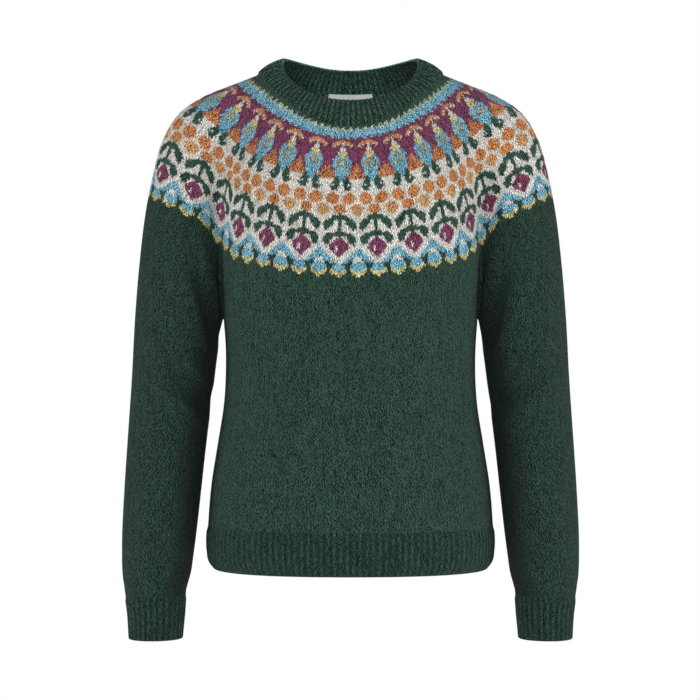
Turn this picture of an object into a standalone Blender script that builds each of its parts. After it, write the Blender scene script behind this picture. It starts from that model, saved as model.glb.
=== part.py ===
"""Fair isle jumper, filled out as when worn and hollow. Metres, +Z up, front towards -Y.

The body is a tube through the rows of BODY_SECTIONS and each arm is a tube along the rows of
ARM_STATIONS. Their smooth union is the outside of the cloth. Every knitted piece is a patch of
that surface with a wall inwards, and stands SEAM_GAP from its neighbours. The right half
(x > 0) is worked out, and the left half mirrors it. The origin lies between the shoulders, at
the height of the neck seam's sides.
"""

import bpy
import numpy as np

# Cloth
WALL = 0.0025
SEAM_GAP = 0.0003
RIB_RAISE = 0.0012
LABEL_THICKNESS = 0.0010

# Body tube: level sections, squareness 2 for an ellipse and more for fuller corners
BODY_COLUMNS = ("height", "half_width", "front_depth", "back_depth", "squareness")
BODY_SECTIONS = (
    (-0.5780, 0.1440, 0.105, 0.098, 2.30),
    (-0.5665, 0.1550, 0.112, 0.104, 2.30),
    (-0.5580, 0.1615, 0.116, 0.108, 2.30),
    (-0.5450, 0.1640, 0.118, 0.110, 2.30),
    (-0.5100, 0.1630, 0.118, 0.110, 2.30),
    (-0.4700, 0.1596, 0.116, 0.108, 2.30),
    (-0.4250, 0.1526, 0.113, 0.104, 2.30),
    (-0.3740, 0.1449, 0.110, 0.100, 2.30),
    (-0.3300, 0.1430, 0.110, 0.098, 2.30),
    (-0.2880, 0.1443, 0.114, 0.101, 2.30),
    (-0.2500, 0.1480, 0.119, 0.105, 2.30),
    (-0.2000, 0.1530, 0.122, 0.109, 2.30),
    (-0.1500, 0.1560, 0.120, 0.110, 2.25),
    (-0.1100, 0.1560, 0.112, 0.108, 2.20),
    (-0.0710, 0.1500, 0.094, 0.101, 2.10),
    (-0.0400, 0.1380, 0.073, 0.093, 2.05),
    (-0.0130, 0.1130, 0.054, 0.085, 2.00),
    (0.0050, 0.0880, 0.040, 0.072, 2.00),
    (0.0300, 0.0450, 0.025, 0.050, 2.00),
)

# Arm tube: places along its outer edge as seen from the front, from the neck to past the cuff
ARM_COLUMNS = ("edge_x", "edge_height", "half_width", "half_depth", "middle_y")
ARM_STATIONS = (
    (0.1000, -0.0060, 0.0400, 0.0560, 0.006),
    (0.1310, -0.0120, 0.0450, 0.0580, 0.006),
    (0.1680, -0.0235, 0.0500, 0.0595, 0.005),
    (0.1995, -0.0460, 0.0530, 0.0600, 0.004),
    (0.2175, -0.0790, 0.0540, 0.0600, 0.002),
    (0.2268, -0.1140, 0.0540, 0.0590, 0.001),
    (0.2340, -0.1495, 0.0535, 0.0580, 0.000),
    (0.2427, -0.2185, 0.0523, 0.0560, 0.000),
    (0.2477, -0.2800, 0.0499, 0.0540, 0.000),
    (0.2511, -0.3480, 0.0471, 0.0510, -0.002),
    (0.2558, -0.4252, 0.0449, 0.0480, -0.008),
    (0.2586, -0.4764, 0.0437, 0.0460, -0.014),
    (0.2605, -0.5443, 0.0410, 0.0420, -0.022),
    (0.2590, -0.5780, 0.0381, 0.0370, -0.027),
    (0.2560, -0.5948, 0.0349, 0.0330, -0.029),
    (0.2532, -0.6117, 0.0326, 0.0305, -0.031),
    (0.2505, -0.6456, 0.0296, 0.0275, -0.034),
    (0.2480, -0.6800, 0.0285, 0.0265, -0.037),
)

# Radius over which the two tubes run into each other: wide on the shoulder, a crease below
SHOULDER_BLEND = 0.030
CREASE_BLEND = 0.004
CREASE_END = -0.170
SHOULDER_START = -0.070

# Neckband: half width, front depth and back depth of its seam with the yoke and of its upper
# edge, and the height of both from the centre back (-1) over the side (0) to the centre front (1)
NECK_SEAM_SIZE = (0.107, 0.087, 0.086)
NECK_EDGE_SIZE = (0.0775, 0.068, 0.068)
NECK_COLUMNS = ("forward", "seam_height", "edge_height")
NECK_HEIGHTS = (
    (-1.00, -0.0130, 0.0139),
    (-0.85, -0.0094, 0.0175),
    (-0.55, -0.0039, 0.0212),
    (-0.20, -0.0005, 0.0202),
    (0.05, -0.0003, 0.0145),
    (0.28, -0.0053, 0.0015),
    (0.49, -0.0161, -0.0092),
    (0.69, -0.0319, -0.0190),
    (0.86, -0.0496, -0.0278),
    (1.00, -0.0670, -0.0341),
)
NECK_CROWN = 0.0030

# Lower edge of the yoke, by height: at the centre front and back, at the sleeve's outer edge, in
# the crease between body and sleeve, and where the crease's slope begins on each side of it
YOKE_FRONT = -0.2365
YOKE_BACK = -0.1950
YOKE_SLEEVE = -0.1415
YOKE_CREASE = -0.1970
YOKE_BODY_SIDE = -0.2085
YOKE_SLEEVE_SIDE = -0.1840
CREASE_SHARE = 0.12

# Ribbed ends
HEM_TOP = -0.5170
HEM_BOTTOM = -0.5665
CUFF_TOP = -0.5948
CUFF_BOTTOM = -0.6438

# Blank woven label inside the back neck, below the neck seam
LABEL_WIDTH = 0.052
LABEL_HEIGHT = 0.018
LABEL_DROP = 0.001

# Grid: columns round the yoke, shared with the panels, and rows down each piece
FRONT_HALF_COLUMNS = 14
SLEEVE_COLUMNS = 19
BACK_HALF_COLUMNS = 12
ARMHOLE_HALF_COLUMNS = 5
YOKE_ROWS = 9
PANEL_ROWS = 9
SLEEVE_ROWS = 11
NECK_ROWS = 3
HEM_ROWS = 3
CUFF_ROWS = 2
LABEL_ROWS = 3
LABEL_COLUMNS = 12

# Ribs round the neckband, across each hem band and round a cuff, each two columns of the grid,
# and how many of those columns one column of the plain inside spans
NECK_RIBS = 96
HEM_RIBS = 88
CUFF_RIBS = 40
NECK_INSIDE_STEP = 2
HEM_INSIDE_STEP = 4
CUFF_INSIDE_STEP = 2

GREEN = (0.020, 0.062, 0.045, 1.0)
YOKE_MIX = (0.300, 0.330, 0.270, 1.0)
LABEL_WHITE = (0.800, 0.790, 0.760, 1.0)
WOOL_ROUGHNESS = 0.90
LABEL_ROUGHNESS = 0.60

SHARP_ANGLE = np.radians(50)

# Working values: step of a slope, points of a fine line, places along the arm, rounds of each
# search, longest move of a search, and how far the search for the armhole starts from its pole
SLOPE_STEP = 0.0005
FINE_POINTS = 721
ARM_PLACES = 60
HALVING_ROUNDS = 30
PRESS_ROUNDS = 6
LONGEST_MOVE = 0.01
ARMHOLE_START_X = 0.147
ARMHOLE_START_RADII = (0.042, 0.075)

# How far the yoke's first guess bulges at the front and over the arm, and its smoothing rounds
YOKE_BULGE_FRONT = 0.012
YOKE_BULGE_ARM = 0.036
YOKE_ROUNDS = 80

MIRROR = np.array((-1.0, 1.0, 1.0))


def table(columns, rows):
    """A table's columns by name."""
    return dict(zip(columns, np.array(rows).T))


def curve(x, xs, ys):
    """A smooth curve through rising xs and their ys: cubic pieces with averaged slopes."""
    x = np.clip(x, xs[0], xs[-1])
    slope = np.gradient(ys, xs)
    i = np.clip(np.searchsorted(xs, x) - 1, 0, len(xs) - 2)
    width = xs[i + 1] - xs[i]
    t = (x - xs[i]) / width
    start = (1 + 2 * t) * (1 - t) ** 2 * ys[i] + t * (1 - t) ** 2 * width * slope[i]
    end = t * t * (3 - 2 * t) * ys[i + 1] + t * t * (t - 1) * width * slope[i + 1]
    return start + end


def eased(x):
    """0 below 0, 1 above 1 and a smooth step between them."""
    x = np.clip(x, 0, 1)
    return x * x * (3 - 2 * x)


# ---------------------------------------------------------------- body tube

BODY = table(BODY_COLUMNS, BODY_SECTIONS)


def body_size(name, height):
    """One column of BODY_SECTIONS at any height."""
    return curve(height, BODY["height"], BODY[name])


def body_level(points):
    """Below 0 inside the body tube, above 0 outside."""
    x, y, z = np.moveaxis(points, -1, 0)
    depth = np.where(y < 0, body_size("front_depth", z), body_size("back_depth", z))
    power = body_size("squareness", z)
    across = (np.abs(x) / body_size("half_width", z)) ** power
    return (across + (np.abs(y) / depth) ** power) ** (1 / power) - 1


def body_point(angle, height, front):
    """The point of the body tube at this angle: 0 at the side, a quarter turn at the centre."""
    power = body_size("squareness", height)
    depth = body_size("front_depth" if front else "back_depth", height)
    x = body_size("half_width", height) * np.abs(np.cos(angle)) ** (2 / power)
    y = depth * np.abs(np.sin(angle)) ** (2 / power)
    return np.stack([x, -y if front else y, np.broadcast_to(height, x.shape)], -1)


def body_angle(points):
    """The angle that body_point takes, for points on or near the tube."""
    x, y, z = np.moveaxis(points, -1, 0)
    power = body_size("squareness", z)
    depth = np.where(y < 0, body_size("front_depth", z), body_size("back_depth", z))
    across = (np.abs(x) / body_size("half_width", z)) ** (power / 2)
    return np.arctan2((np.abs(y) / depth) ** (power / 2), across)


# ---------------------------------------------------------------- arm tube


def square_to(x, z):
    """The unit way out, square to a line that runs down the right arm."""
    along_x, along_z = np.gradient(x), np.gradient(z)
    length = np.hypot(along_x, along_z)
    return -along_z / length, along_x / length


def arm_stations():
    """The arm's middle line, evenly spaced, with the way out from it and its two radii."""
    arm = table(ARM_COLUMNS, ARM_STATIONS)
    steps = np.hypot(np.diff(arm["edge_x"]), np.diff(arm["edge_height"]))
    run = np.concatenate([[0], np.cumsum(steps)])
    at = np.linspace(0, run[-1], ARM_PLACES)
    even = {name: curve(at, run, column) for name, column in arm.items()}
    out_x, out_z = square_to(even["edge_x"], even["edge_height"])
    x = even["edge_x"] - even["half_width"] * out_x
    z = even["edge_height"] - even["half_width"] * out_z
    out_x, out_z = square_to(x, z)
    return {"x": x, "z": z, "out_x": out_x, "out_z": out_z, "y": even["middle_y"],
            "width": even["half_width"], "depth": even["half_depth"]}


ARM = arm_stations()


def arm_at(place):
    """The arm's middle line, way out and radii at any place along it."""
    return {name: curve(place, np.arange(len(column)), column) for name, column in ARM.items()}


def arm_place_of(points):
    """For points (n, 3): the place along the right arm's middle line nearest to each."""
    x, z = np.abs(points[:, :1]), points[:, 2:]
    step_x, step_z = np.diff(ARM["x"]), np.diff(ARM["z"])
    share = (x - ARM["x"][:-1]) * step_x + (z - ARM["z"][:-1]) * step_z
    share = np.clip(share / (step_x ** 2 + step_z ** 2), 0, 1)
    away_x, away_z = x - ARM["x"][:-1] - share * step_x, z - ARM["z"][:-1] - share * step_z
    nearest = (away_x ** 2 + away_z ** 2).argmin(axis=1)
    return nearest + share[np.arange(len(points)), nearest]


def arm_distance(points):
    """Distance of points (n, 3) to the surface of the right or left arm tube."""
    here = arm_at(arm_place_of(points))
    away = np.hypot(np.abs(points[:, 0]) - here["x"], points[:, 2] - here["z"])
    ahead = (points[:, 1] - here["y"]) * here["width"] / here["depth"]
    return np.hypot(away, ahead) - here["width"]


def arm_point(angle, place):
    """The point of the right arm: angle 0 at its outer edge, a quarter turn at its front."""
    here = arm_at(place)
    out = here["width"] * np.cos(angle)
    y = here["y"] - here["depth"] * np.sin(angle)
    return np.stack([here["x"] + out * here["out_x"], y, here["z"] + out * here["out_z"]], -1)


def arm_angle(points):
    """Angle and place that arm_point takes, for points near the right arm."""
    place = arm_place_of(points)
    here = arm_at(place)
    out = (points[:, 0] - here["x"]) * here["out_x"] + (points[:, 2] - here["z"]) * here["out_z"]
    angle = np.arctan2((here["y"] - points[:, 1]) / here["depth"], out / here["width"])
    return angle % (2 * np.pi), place


def arm_place(angle, height):
    """The place where the right arm's surface at this angle is at this height, by halving."""
    upper, lower = np.zeros_like(angle), np.full_like(angle, len(ARM["x"]) - 1)
    for _ in range(HALVING_ROUNDS):
        middle = (upper + lower) / 2
        above = arm_point(angle, middle)[:, 2] > height
        upper, lower = np.where(above, middle, upper), np.where(above, lower, middle)
    return upper


# ---------------------------------------------------------------- outside of the cloth


def slopes(level, points):
    """The gradient of a level function, by central differences."""
    shifts = np.eye(3) * SLOPE_STEP
    return np.stack([(level(points + d) - level(points - d)) / (2 * SLOPE_STEP) for d in shifts], -1)


def body_distance(points):
    """Distance to the surface of the body tube."""
    steepness = np.linalg.norm(slopes(body_level, points), axis=-1)
    return body_level(points) / np.maximum(steepness, 1e-6)


def blend(points):
    """The radius over which the tubes run into each other at these points."""
    rise = eased((points[:, 2] - CREASE_END) / (SHOULDER_START - CREASE_END))
    return CREASE_BLEND + (SHOULDER_BLEND - CREASE_BLEND) * rise


def cloth_distance(points):
    """Distance to the outside of the cloth: the smaller of the two tubes', rounded together."""
    body, arm, radius = body_distance(points), arm_distance(points), blend(points)
    overlap = np.maximum(radius - np.abs(body - arm), 0)
    return np.minimum(body, arm) - overlap ** 2 / (4 * radius)


def normals(points):
    """The way out of the cloth at points of any grid."""
    way = slopes(cloth_distance, points.reshape(-1, 3))
    way /= np.linalg.norm(way, axis=-1, keepdims=True)
    return way.reshape(points.shape)


def pressed(points, level=0.0, rounds=PRESS_ROUNDS):
    """Points moved along the slope until they lie on the cloth, or at a small distance from it."""
    flat = points.reshape(-1, 3).copy()
    level = np.broadcast_to(level, points.shape[:-1]).reshape(-1)
    for _ in range(rounds):
        way = slopes(cloth_distance, flat)
        off = (cloth_distance(flat) - level) / np.maximum((way ** 2).sum(-1), 0.25)
        flat -= np.clip(off, -LONGEST_MOVE, LONGEST_MOVE)[:, None] * way
    return flat.reshape(points.shape)


def evenly(line, count):
    """count + 1 points at even steps along a line of points."""
    run = np.concatenate([[0], np.cumsum(np.linalg.norm(np.diff(line, axis=0), axis=1))])
    at = np.linspace(0, run[-1], count + 1)
    return np.stack([np.interp(at, run, line[:, k]) for k in range(3)], -1)


# ---------------------------------------------------------------- seams


def armhole(steps):
    """The crease between body and right arm, from the yoke's front edge under the arm to its back.

    Each point lies at a quarter of the crease's blend from both tubes, on a ray from a pole in
    the side plane that turns from straight forwards, through straight down, to straight back.
    """
    turn = np.linspace(0, np.pi, 2 * steps + 1)
    half_depth, drop = ARMHOLE_START_RADII
    points = np.stack([np.full_like(turn, ARMHOLE_START_X), -half_depth * np.cos(turn),
                       YOKE_CREASE - drop * np.sin(turn)], -1)
    across = np.stack([np.zeros_like(turn), np.sin(turn), -np.cos(turn)], -1)
    pole = np.array((0, 0, YOKE_CREASE))
    for _ in range(HALVING_ROUNDS):
        miss = np.stack([body_distance(points) - CREASE_BLEND / 4,
                         arm_distance(points) - CREASE_BLEND / 4,
                         ((points - pole) * across).sum(-1)], -1)
        matrix = np.stack([slopes(body_distance, points), slopes(arm_distance, points), across], 1)
        move = np.linalg.solve(matrix, miss[..., None])[..., 0]
        points = points - np.clip(move, -LONGEST_MOVE, LONGEST_MOVE)
    return points


def edge_height(share, centre, side):
    """Height of the yoke's edge from a centre (share 0) to the crease (share 1).

    It falls or rises with the square of the share to the side's height, and its last stretch
    runs down or up into the crease.
    """
    into_crease = eased((share - 1 + CREASE_SHARE) / CREASE_SHARE)
    return centre + (side - centre) * share ** 2 + (YOKE_CREASE - side) * into_crease


def yoke_edge(front_crease, back_crease):
    """Lower edge of the yoke's right half: centre front, front crease, over the arm, back."""

    def over_body(crease, centre, side, front, count):
        share = np.linspace(0, 1, FINE_POINTS)
        x, height = share * crease[0], edge_height(share, centre, side)
        power = body_size("squareness", height)
        depth = body_size("front_depth" if front else "back_depth", height)
        across = np.minimum(x / body_size("half_width", height), 1)
        y = depth * (1 - across ** power) ** (1 / power)
        line = pressed(np.stack([x, -y if front else y, height], -1))
        line[0, 0], line[-1] = 0, crease
        return evenly(line, count)

    ends = arm_angle(np.stack([front_crease, back_crease]))[0]
    angle = np.linspace(ends[0], ends[1] - 2 * np.pi, FINE_POINTS)
    limit = np.where(angle > 0, ends[0], 2 * np.pi - ends[1])
    share = np.sqrt((1 - np.cos(angle)) / (1 - np.cos(limit)))
    height = edge_height(share, YOKE_SLEEVE, YOKE_SLEEVE_SIDE)
    arm = pressed(arm_point(angle, arm_place(angle, height)))
    arm[0], arm[-1] = front_crease, back_crease
    front = over_body(front_crease, YOKE_FRONT, YOKE_BODY_SIDE, True, FRONT_HALF_COLUMNS)
    back = over_body(back_crease, YOKE_BACK, YOKE_BACK, False, BACK_HALF_COLUMNS)[::-1]
    return np.concatenate([front[:-1], evenly(arm, SLEEVE_COLUMNS)[:-1], back])


def neck_ring(size, height_name, half_columns):
    """Right half of a ring of the neck, evenly spaced from centre front to centre back."""
    half_width, front_depth, back_depth = size
    heights = table(NECK_COLUMNS, NECK_HEIGHTS)
    forward = np.cos(np.linspace(0, np.pi, FINE_POINTS))
    depth = np.where(forward > 0, front_depth, back_depth)
    height = curve(forward, heights["forward"], heights[height_name])
    x = half_width * np.sqrt(1 - forward ** 2)
    return evenly(np.stack([x, -depth * forward, height], -1), half_columns)


def yoke_half(seam, edge, rows):
    """The yoke's right half as a grid, its rows spread evenly from the neck seam to the edge."""
    down = np.linspace(0, 1, rows + 1)[:, None]
    sideways = (edge[:, 0] / edge[:, 0].max())[:, None]
    outward = (edge - seam) * (1, 1, 0) + (0, 0, 1) * np.abs(edge - seam)
    outward /= np.linalg.norm(outward, axis=1, keepdims=True)
    bulge = YOKE_BULGE_FRONT + (YOKE_BULGE_ARM - YOKE_BULGE_FRONT) * sideways
    crown = (4 * down * (1 - down))[:, :, None] * bulge * outward
    grid = (1 - down)[:, :, None] * seam + down[:, :, None] * edge + crown
    level = cloth_distance(seam) * (1 - down) ** 2
    grid[1:-1] = pressed(grid[1:-1], level[1:-1])
    for _ in range(YOKE_ROUNDS):
        around = np.concatenate([grid[:, 1:2] * MIRROR, grid, grid[:, -2:-1] * MIRROR], axis=1)
        beside = (around[1:-1, :-2] + around[1:-1, 2:]) / 2
        above_below = (grid[:-2] + grid[2:]) / 2
        grid[1:-1] = pressed((beside + above_below) / 2, level[1:-1], rounds=2)
    return grid


# ---------------------------------------------------------------- solids


def inset(loop, way_out, wrap):
    """A patch's edge moved half a seam gap into the patch, which lies on its left."""
    before = np.roll(loop, 1, axis=0)
    after = np.roll(loop, -1, axis=0)
    if not wrap:
        before[0], after[-1] = loop[0], loop[-1]
    inward = np.cross(way_out, after - before)
    return loop + inward / np.linalg.norm(inward, axis=1, keepdims=True) * SEAM_GAP / 2


def with_gaps(grid, way_out, wrap):
    """The grid with each of its outer edges moved in by half a seam gap."""
    grid = grid.copy()
    if wrap:
        grid[0] = inset(grid[0][::-1], way_out[0][::-1], True)[::-1]
        grid[-1] = inset(grid[-1], way_out[-1], True)
        return grid
    rows, columns = grid.shape[0] - 1, grid.shape[1] - 1
    r = np.concatenate([np.arange(rows), np.full(columns, rows), np.arange(rows, 0, -1),
                        np.zeros(columns, int)])
    c = np.concatenate([np.zeros(rows, int), np.arange(columns), np.full(rows, columns),
                        np.arange(columns, 0, -1)])
    grid[r, c] = inset(grid[r, c], way_out[r, c], True)
    return grid


def closed_wall(outer, inner, wrap):
    """Points and faces of the solid between two grids.

    Rows run down and columns run round from the front over the right to the back. The inner
    grid may have fewer columns, by a whole number. A rim's four-sided face is split along its
    shorter diagonal, so that two pieces that meet along a twisted seam split it alike.
    """
    rows, columns = outer.shape[:2]
    inner_columns = inner.shape[1]
    segments, inner_segments = columns - (not wrap), inner_columns - (not wrap)
    ratio = segments // inner_segments
    points = np.concatenate([outer.reshape(-1, 3), inner.reshape(-1, 3)])

    def out(r, c):
        return r * columns + c % columns

    def inn(r, c):
        return rows * columns + r * inner_columns + c % inner_columns

    def rim(*corners):
        if len(corners) > 4:
            return [corners]
        a, b, c, d = corners
        if np.linalg.norm(points[a] - points[c]) < np.linalg.norm(points[b] - points[d]):
            return [(a, b, c), (a, c, d)]
        return [(a, b, d), (b, c, d)]

    faces = []
    for r in range(rows - 1):
        faces += [(out(r, c), out(r + 1, c), out(r + 1, c + 1), out(r, c + 1))
                  for c in range(segments)]
        faces += [(inn(r, c), inn(r, c + 1), inn(r + 1, c + 1), inn(r + 1, c))
                  for c in range(inner_segments)]
    low = rows - 1
    for c in range(inner_segments):
        edge = [c * ratio + k for k in range(ratio + 1)]
        faces += rim(*[out(0, k) for k in edge], inn(0, c + 1), inn(0, c))
        faces += rim(*[out(low, k) for k in reversed(edge)], inn(low, c), inn(low, c + 1))
    if not wrap:
        last, inner_last = columns - 1, inner_columns - 1
        for r in range(low):
            faces += rim(out(r + 1, 0), out(r, 0), inn(r, 0), inn(r + 1, 0))
            faces += rim(out(r, last), out(r + 1, last), inn(r + 1, inner_last), inn(r, inner_last))
    return points, faces


def material(name, colour, roughness):
    """A plain finish of one colour."""
    made = bpy.data.materials.new(name)
    made.use_nodes = True
    shader = made.node_tree.nodes["Principled BSDF"]
    shader.inputs["Base Color"].default_value = colour
    shader.inputs["Roughness"].default_value = roughness
    shader.inputs["Metallic"].default_value = 0.0
    made.diffuse_color = colour
    return made


def add_piece(name, points, faces, finish):
    """One named object from the points and faces of its closed wall."""
    mesh = bpy.data.meshes.new(name)
    mesh.from_pydata(points.tolist(), [], [tuple(face) for face in faces])
    mesh.validate()
    mesh.materials.append(finish)
    mesh.shade_smooth()
    mesh.set_sharp_from_angle(angle=SHARP_ANGLE)
    bpy.context.scene.collection.objects.link(bpy.data.objects.new(name, mesh))


def levelled(way_out):
    """The same ways out, turned level."""
    flat = way_out * (1, 1, 0)
    return flat / np.linalg.norm(flat, axis=-1, keepdims=True)


def add_cloth(name, grid, finish, wrap, ribbed_below=False):
    """A plain knitted piece: its grid with gaps at its edges and a wall inwards."""
    way_out = normals(grid)
    if ribbed_below:
        way_out[-1] = levelled(way_out[-1])
    outer = with_gaps(grid, way_out, wrap)
    add_piece(name, *closed_wall(outer, outer - WALL * way_out, wrap), finish)


def add_rib(name, grid, way_out, finish, wrap, inside_step):
    """A ribbed piece: every second column raised, over a plain inside of fewer columns."""
    raised = (np.arange(grid.shape[1]) % 2 == 1) * RIB_RAISE
    spaced = with_gaps(grid, way_out, wrap)
    outer = spaced + raised[None, :, None] * way_out
    inner = (spaced - WALL * way_out)[:, ::inside_step]
    add_piece(name, *closed_wall(outer, inner, wrap), finish)


def mirrored(half):
    """A whole ring from its right half, without its first column twice."""
    return np.concatenate([half, (half * MIRROR)[:, -2:0:-1]], axis=1)


# ---------------------------------------------------------------- pieces


def make_neckband(finish):
    """Ribbed band between the neck seam and its upper edge, slightly crowned."""
    seam = neck_ring(NECK_SEAM_SIZE, "seam_height", NECK_RIBS)
    edge = neck_ring(NECK_EDGE_SIZE, "edge_height", NECK_RIBS)
    down = np.linspace(0, 1, NECK_ROWS + 1)[:, None, None]
    grid = mirrored((1 - down) * edge + down * seam)
    round_step = np.roll(grid, -1, axis=1) - np.roll(grid, 1, axis=1)
    band_out = np.cross(np.gradient(grid, axis=0), round_step)
    band_out /= np.linalg.norm(band_out, axis=-1, keepdims=True)
    way_out = (1 - down ** 3) * band_out + down ** 3 * normals(grid[-1])
    way_out /= np.linalg.norm(way_out, axis=-1, keepdims=True)
    grid = grid + NECK_CROWN * 4 * down * (1 - down) * way_out
    add_rib("neckband", grid, way_out, finish, True, NECK_INSIDE_STEP)


def panel_grid(top, hem_height, front):
    """Half a body panel: columns straight down from the points of its top edge to the hem."""
    angle = body_angle(top)
    angle[0], angle[-1] = np.pi / 2, 0
    down = np.linspace(0, 1, PANEL_ROWS + 1)[:, None]
    height = top[:, 2] + (hem_height - top[:, 2]) * down
    grid = pressed(body_point(np.broadcast_to(angle, height.shape), height, front))
    grid[0] = top
    grid[:, 0, 0] = 0
    return grid


def whole_panel(half, front):
    """Both halves of a panel, its columns in the order that closed_wall takes."""
    if front:
        return np.concatenate([(half * MIRROR)[:, :0:-1], half], axis=1)
    return np.concatenate([half[:, ::-1], (half * MIRROR)[:, 1:]], axis=1)


def hem_grid(front):
    """One side's hem rib, as columns along the body tube from side seam to side seam."""
    fine = np.linspace(0, np.pi, 2 * FINE_POINTS - 1)
    ring = body_point(fine, np.full_like(fine, HEM_TOP), front)
    ring[:, 0] *= np.sign(np.cos(fine))
    run = np.concatenate([[0], np.cumsum(np.linalg.norm(np.diff(ring, axis=0), axis=1))])
    angle = np.interp(np.linspace(0, run[-1], 2 * HEM_RIBS + 1), run, fine)
    if front:
        angle = angle[::-1]
    height = np.linspace(HEM_TOP, HEM_BOTTOM, HEM_ROWS + 1)[:, None]
    height, angle = np.broadcast_arrays(height, angle)
    grid = body_point(angle, height, front)
    grid[..., 0] *= np.sign(np.cos(angle))
    return grid


def sleeve_grid(top):
    """The right sleeve: columns along the arm from its top edge to the cuff."""
    angle, place = arm_angle(top)
    end = arm_place(np.zeros(1), CUFF_TOP)[0]
    down = np.linspace(0, 1, SLEEVE_ROWS + 1)[:, None]
    places = place + (end - place) * down
    grid = pressed(arm_point(np.broadcast_to(angle, places.shape), places))
    grid[0] = top
    return grid


def cuff_grid():
    """The right cuff, evenly spaced round the arm tube, from the sleeve to its end."""
    start, end = arm_place(np.zeros(2), np.array((CUFF_TOP, CUFF_BOTTOM)))
    angle = np.linspace(0, -2 * np.pi, 2 * CUFF_RIBS, endpoint=False)
    place = np.linspace(start, end, CUFF_ROWS + 1)[:, None]
    angle, place = np.broadcast_arrays(angle, place)
    return pressed(arm_point(angle, place))


def across(grid, row, column):
    """Points between those of a grid, at fractions of its rows and columns."""
    r = np.clip(np.floor(row).astype(int), 0, grid.shape[0] - 2)
    c = np.floor(column).astype(int)
    down, beside = (row - r)[..., None], (column - c)[..., None]
    right, left = (c + 1) % grid.shape[1], c % grid.shape[1]
    upper = grid[r, left] * (1 - beside) + grid[r, right] * beside
    lower = grid[r + 1, left] * (1 - beside) + grid[r + 1, right] * beside
    return upper * (1 - down) + lower * down


def make_label(yoke, finish):
    """Blank label on the inside of the back yoke, made from its points and moved inwards."""
    back = FRONT_HALF_COLUMNS + SLEEVE_COLUMNS + BACK_HALF_COLUMNS
    row_height = np.linalg.norm(yoke[1, back] - yoke[0, back])
    column_width = np.linalg.norm(yoke[0, back + 1] - yoke[0, back])
    half = LABEL_WIDTH / 2 / column_width
    row = np.linspace(LABEL_DROP, LABEL_DROP + LABEL_HEIGHT, LABEL_ROWS + 1)[:, None] / row_height
    column = back + np.linspace(-half, half, LABEL_COLUMNS + 1)
    outside = across(yoke, *np.broadcast_arrays(row, column))
    way_out = normals(outside)
    outer = outside - (WALL + 2 * SEAM_GAP) * way_out
    add_piece("label", *closed_wall(outer, outer - LABEL_THICKNESS * way_out, False), finish)


def main():
    for item in list(bpy.data.objects):
        bpy.data.objects.remove(item, do_unlink=True)
    green = material("green_wool", GREEN, WOOL_ROUGHNESS)
    mixed = material("yoke_wool", YOKE_MIX, WOOL_ROUGHNESS)
    white = material("label_weave", LABEL_WHITE, LABEL_ROUGHNESS)

    crease = armhole(ARMHOLE_HALF_COLUMNS)
    under = ARMHOLE_HALF_COLUMNS
    edge = yoke_edge(crease[0], crease[-1])
    seam = neck_ring(NECK_SEAM_SIZE, "seam_height", len(edge) - 1)
    yoke = mirrored(yoke_half(seam, edge, YOKE_ROWS))
    first, last = FRONT_HALF_COLUMNS, FRONT_HALF_COLUMNS + SLEEVE_COLUMNS

    make_neckband(green)
    add_cloth("yoke", yoke, mixed, True)
    make_label(yoke, white)

    front_top = np.concatenate([edge[:first], crease[:under + 1]])
    back_top = np.concatenate([edge[:last:-1], crease[:under - 1:-1]])
    for name, top, front in (("front", front_top, True), ("back", back_top, False)):
        panel = whole_panel(panel_grid(top, HEM_TOP, front), front)
        add_cloth(name, panel, green, False, ribbed_below=True)
        hem = hem_grid(front)
        add_rib("hem_" + name, hem, levelled(normals(hem)), green, False, HEM_INSIDE_STEP)

    sleeve_top = np.concatenate([edge[first:last], crease[:0:-1]])
    sleeve, cuff = sleeve_grid(sleeve_top), cuff_grid()
    for side, turned in (("right", sleeve), ("left", (sleeve * MIRROR)[:, ::-1])):
        add_cloth("sleeve_" + side, turned, green, True, ribbed_below=True)
    for side, turned in (("right", cuff), ("left", (cuff * MIRROR)[:, ::-1])):
        add_rib("cuff_" + side, turned, levelled(normals(turned)), green, True, CUFF_INSIDE_STEP)


main()
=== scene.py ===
"""Fair isle jumper, dressed: knitted shells on the packed forms. Metres, +Z up, front towards -Y.

The body is a tube through level sections and each arm a tube along its outer edge. Their smooth
union is the outside of the cloth. Every piece is a fine patch of it, with a wall inwards. The
yoke has one face for each stitch, so its bands are knitted from charts.
"""

import logging
import math
from dataclasses import dataclass, field
from enum import Enum
from typing import Any, Callable, Sequence

import bpy
import numpy as np
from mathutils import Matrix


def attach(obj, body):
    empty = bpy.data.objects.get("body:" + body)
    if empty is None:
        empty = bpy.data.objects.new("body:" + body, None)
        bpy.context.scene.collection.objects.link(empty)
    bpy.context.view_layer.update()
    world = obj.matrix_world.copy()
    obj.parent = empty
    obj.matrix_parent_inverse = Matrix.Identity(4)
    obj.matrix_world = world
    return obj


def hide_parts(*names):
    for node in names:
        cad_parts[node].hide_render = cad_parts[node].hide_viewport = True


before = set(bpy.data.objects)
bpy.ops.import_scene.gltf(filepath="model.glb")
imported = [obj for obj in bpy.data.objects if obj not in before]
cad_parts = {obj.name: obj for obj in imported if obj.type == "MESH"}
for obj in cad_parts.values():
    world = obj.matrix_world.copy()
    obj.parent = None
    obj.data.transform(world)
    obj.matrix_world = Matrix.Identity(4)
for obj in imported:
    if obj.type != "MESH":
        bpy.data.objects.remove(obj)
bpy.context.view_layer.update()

Array = np.ndarray
Rows = tuple[tuple[float, ...], ...]
Finishes = tuple[bpy.types.Material, ...]
Three = tuple[float, float, float]

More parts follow.
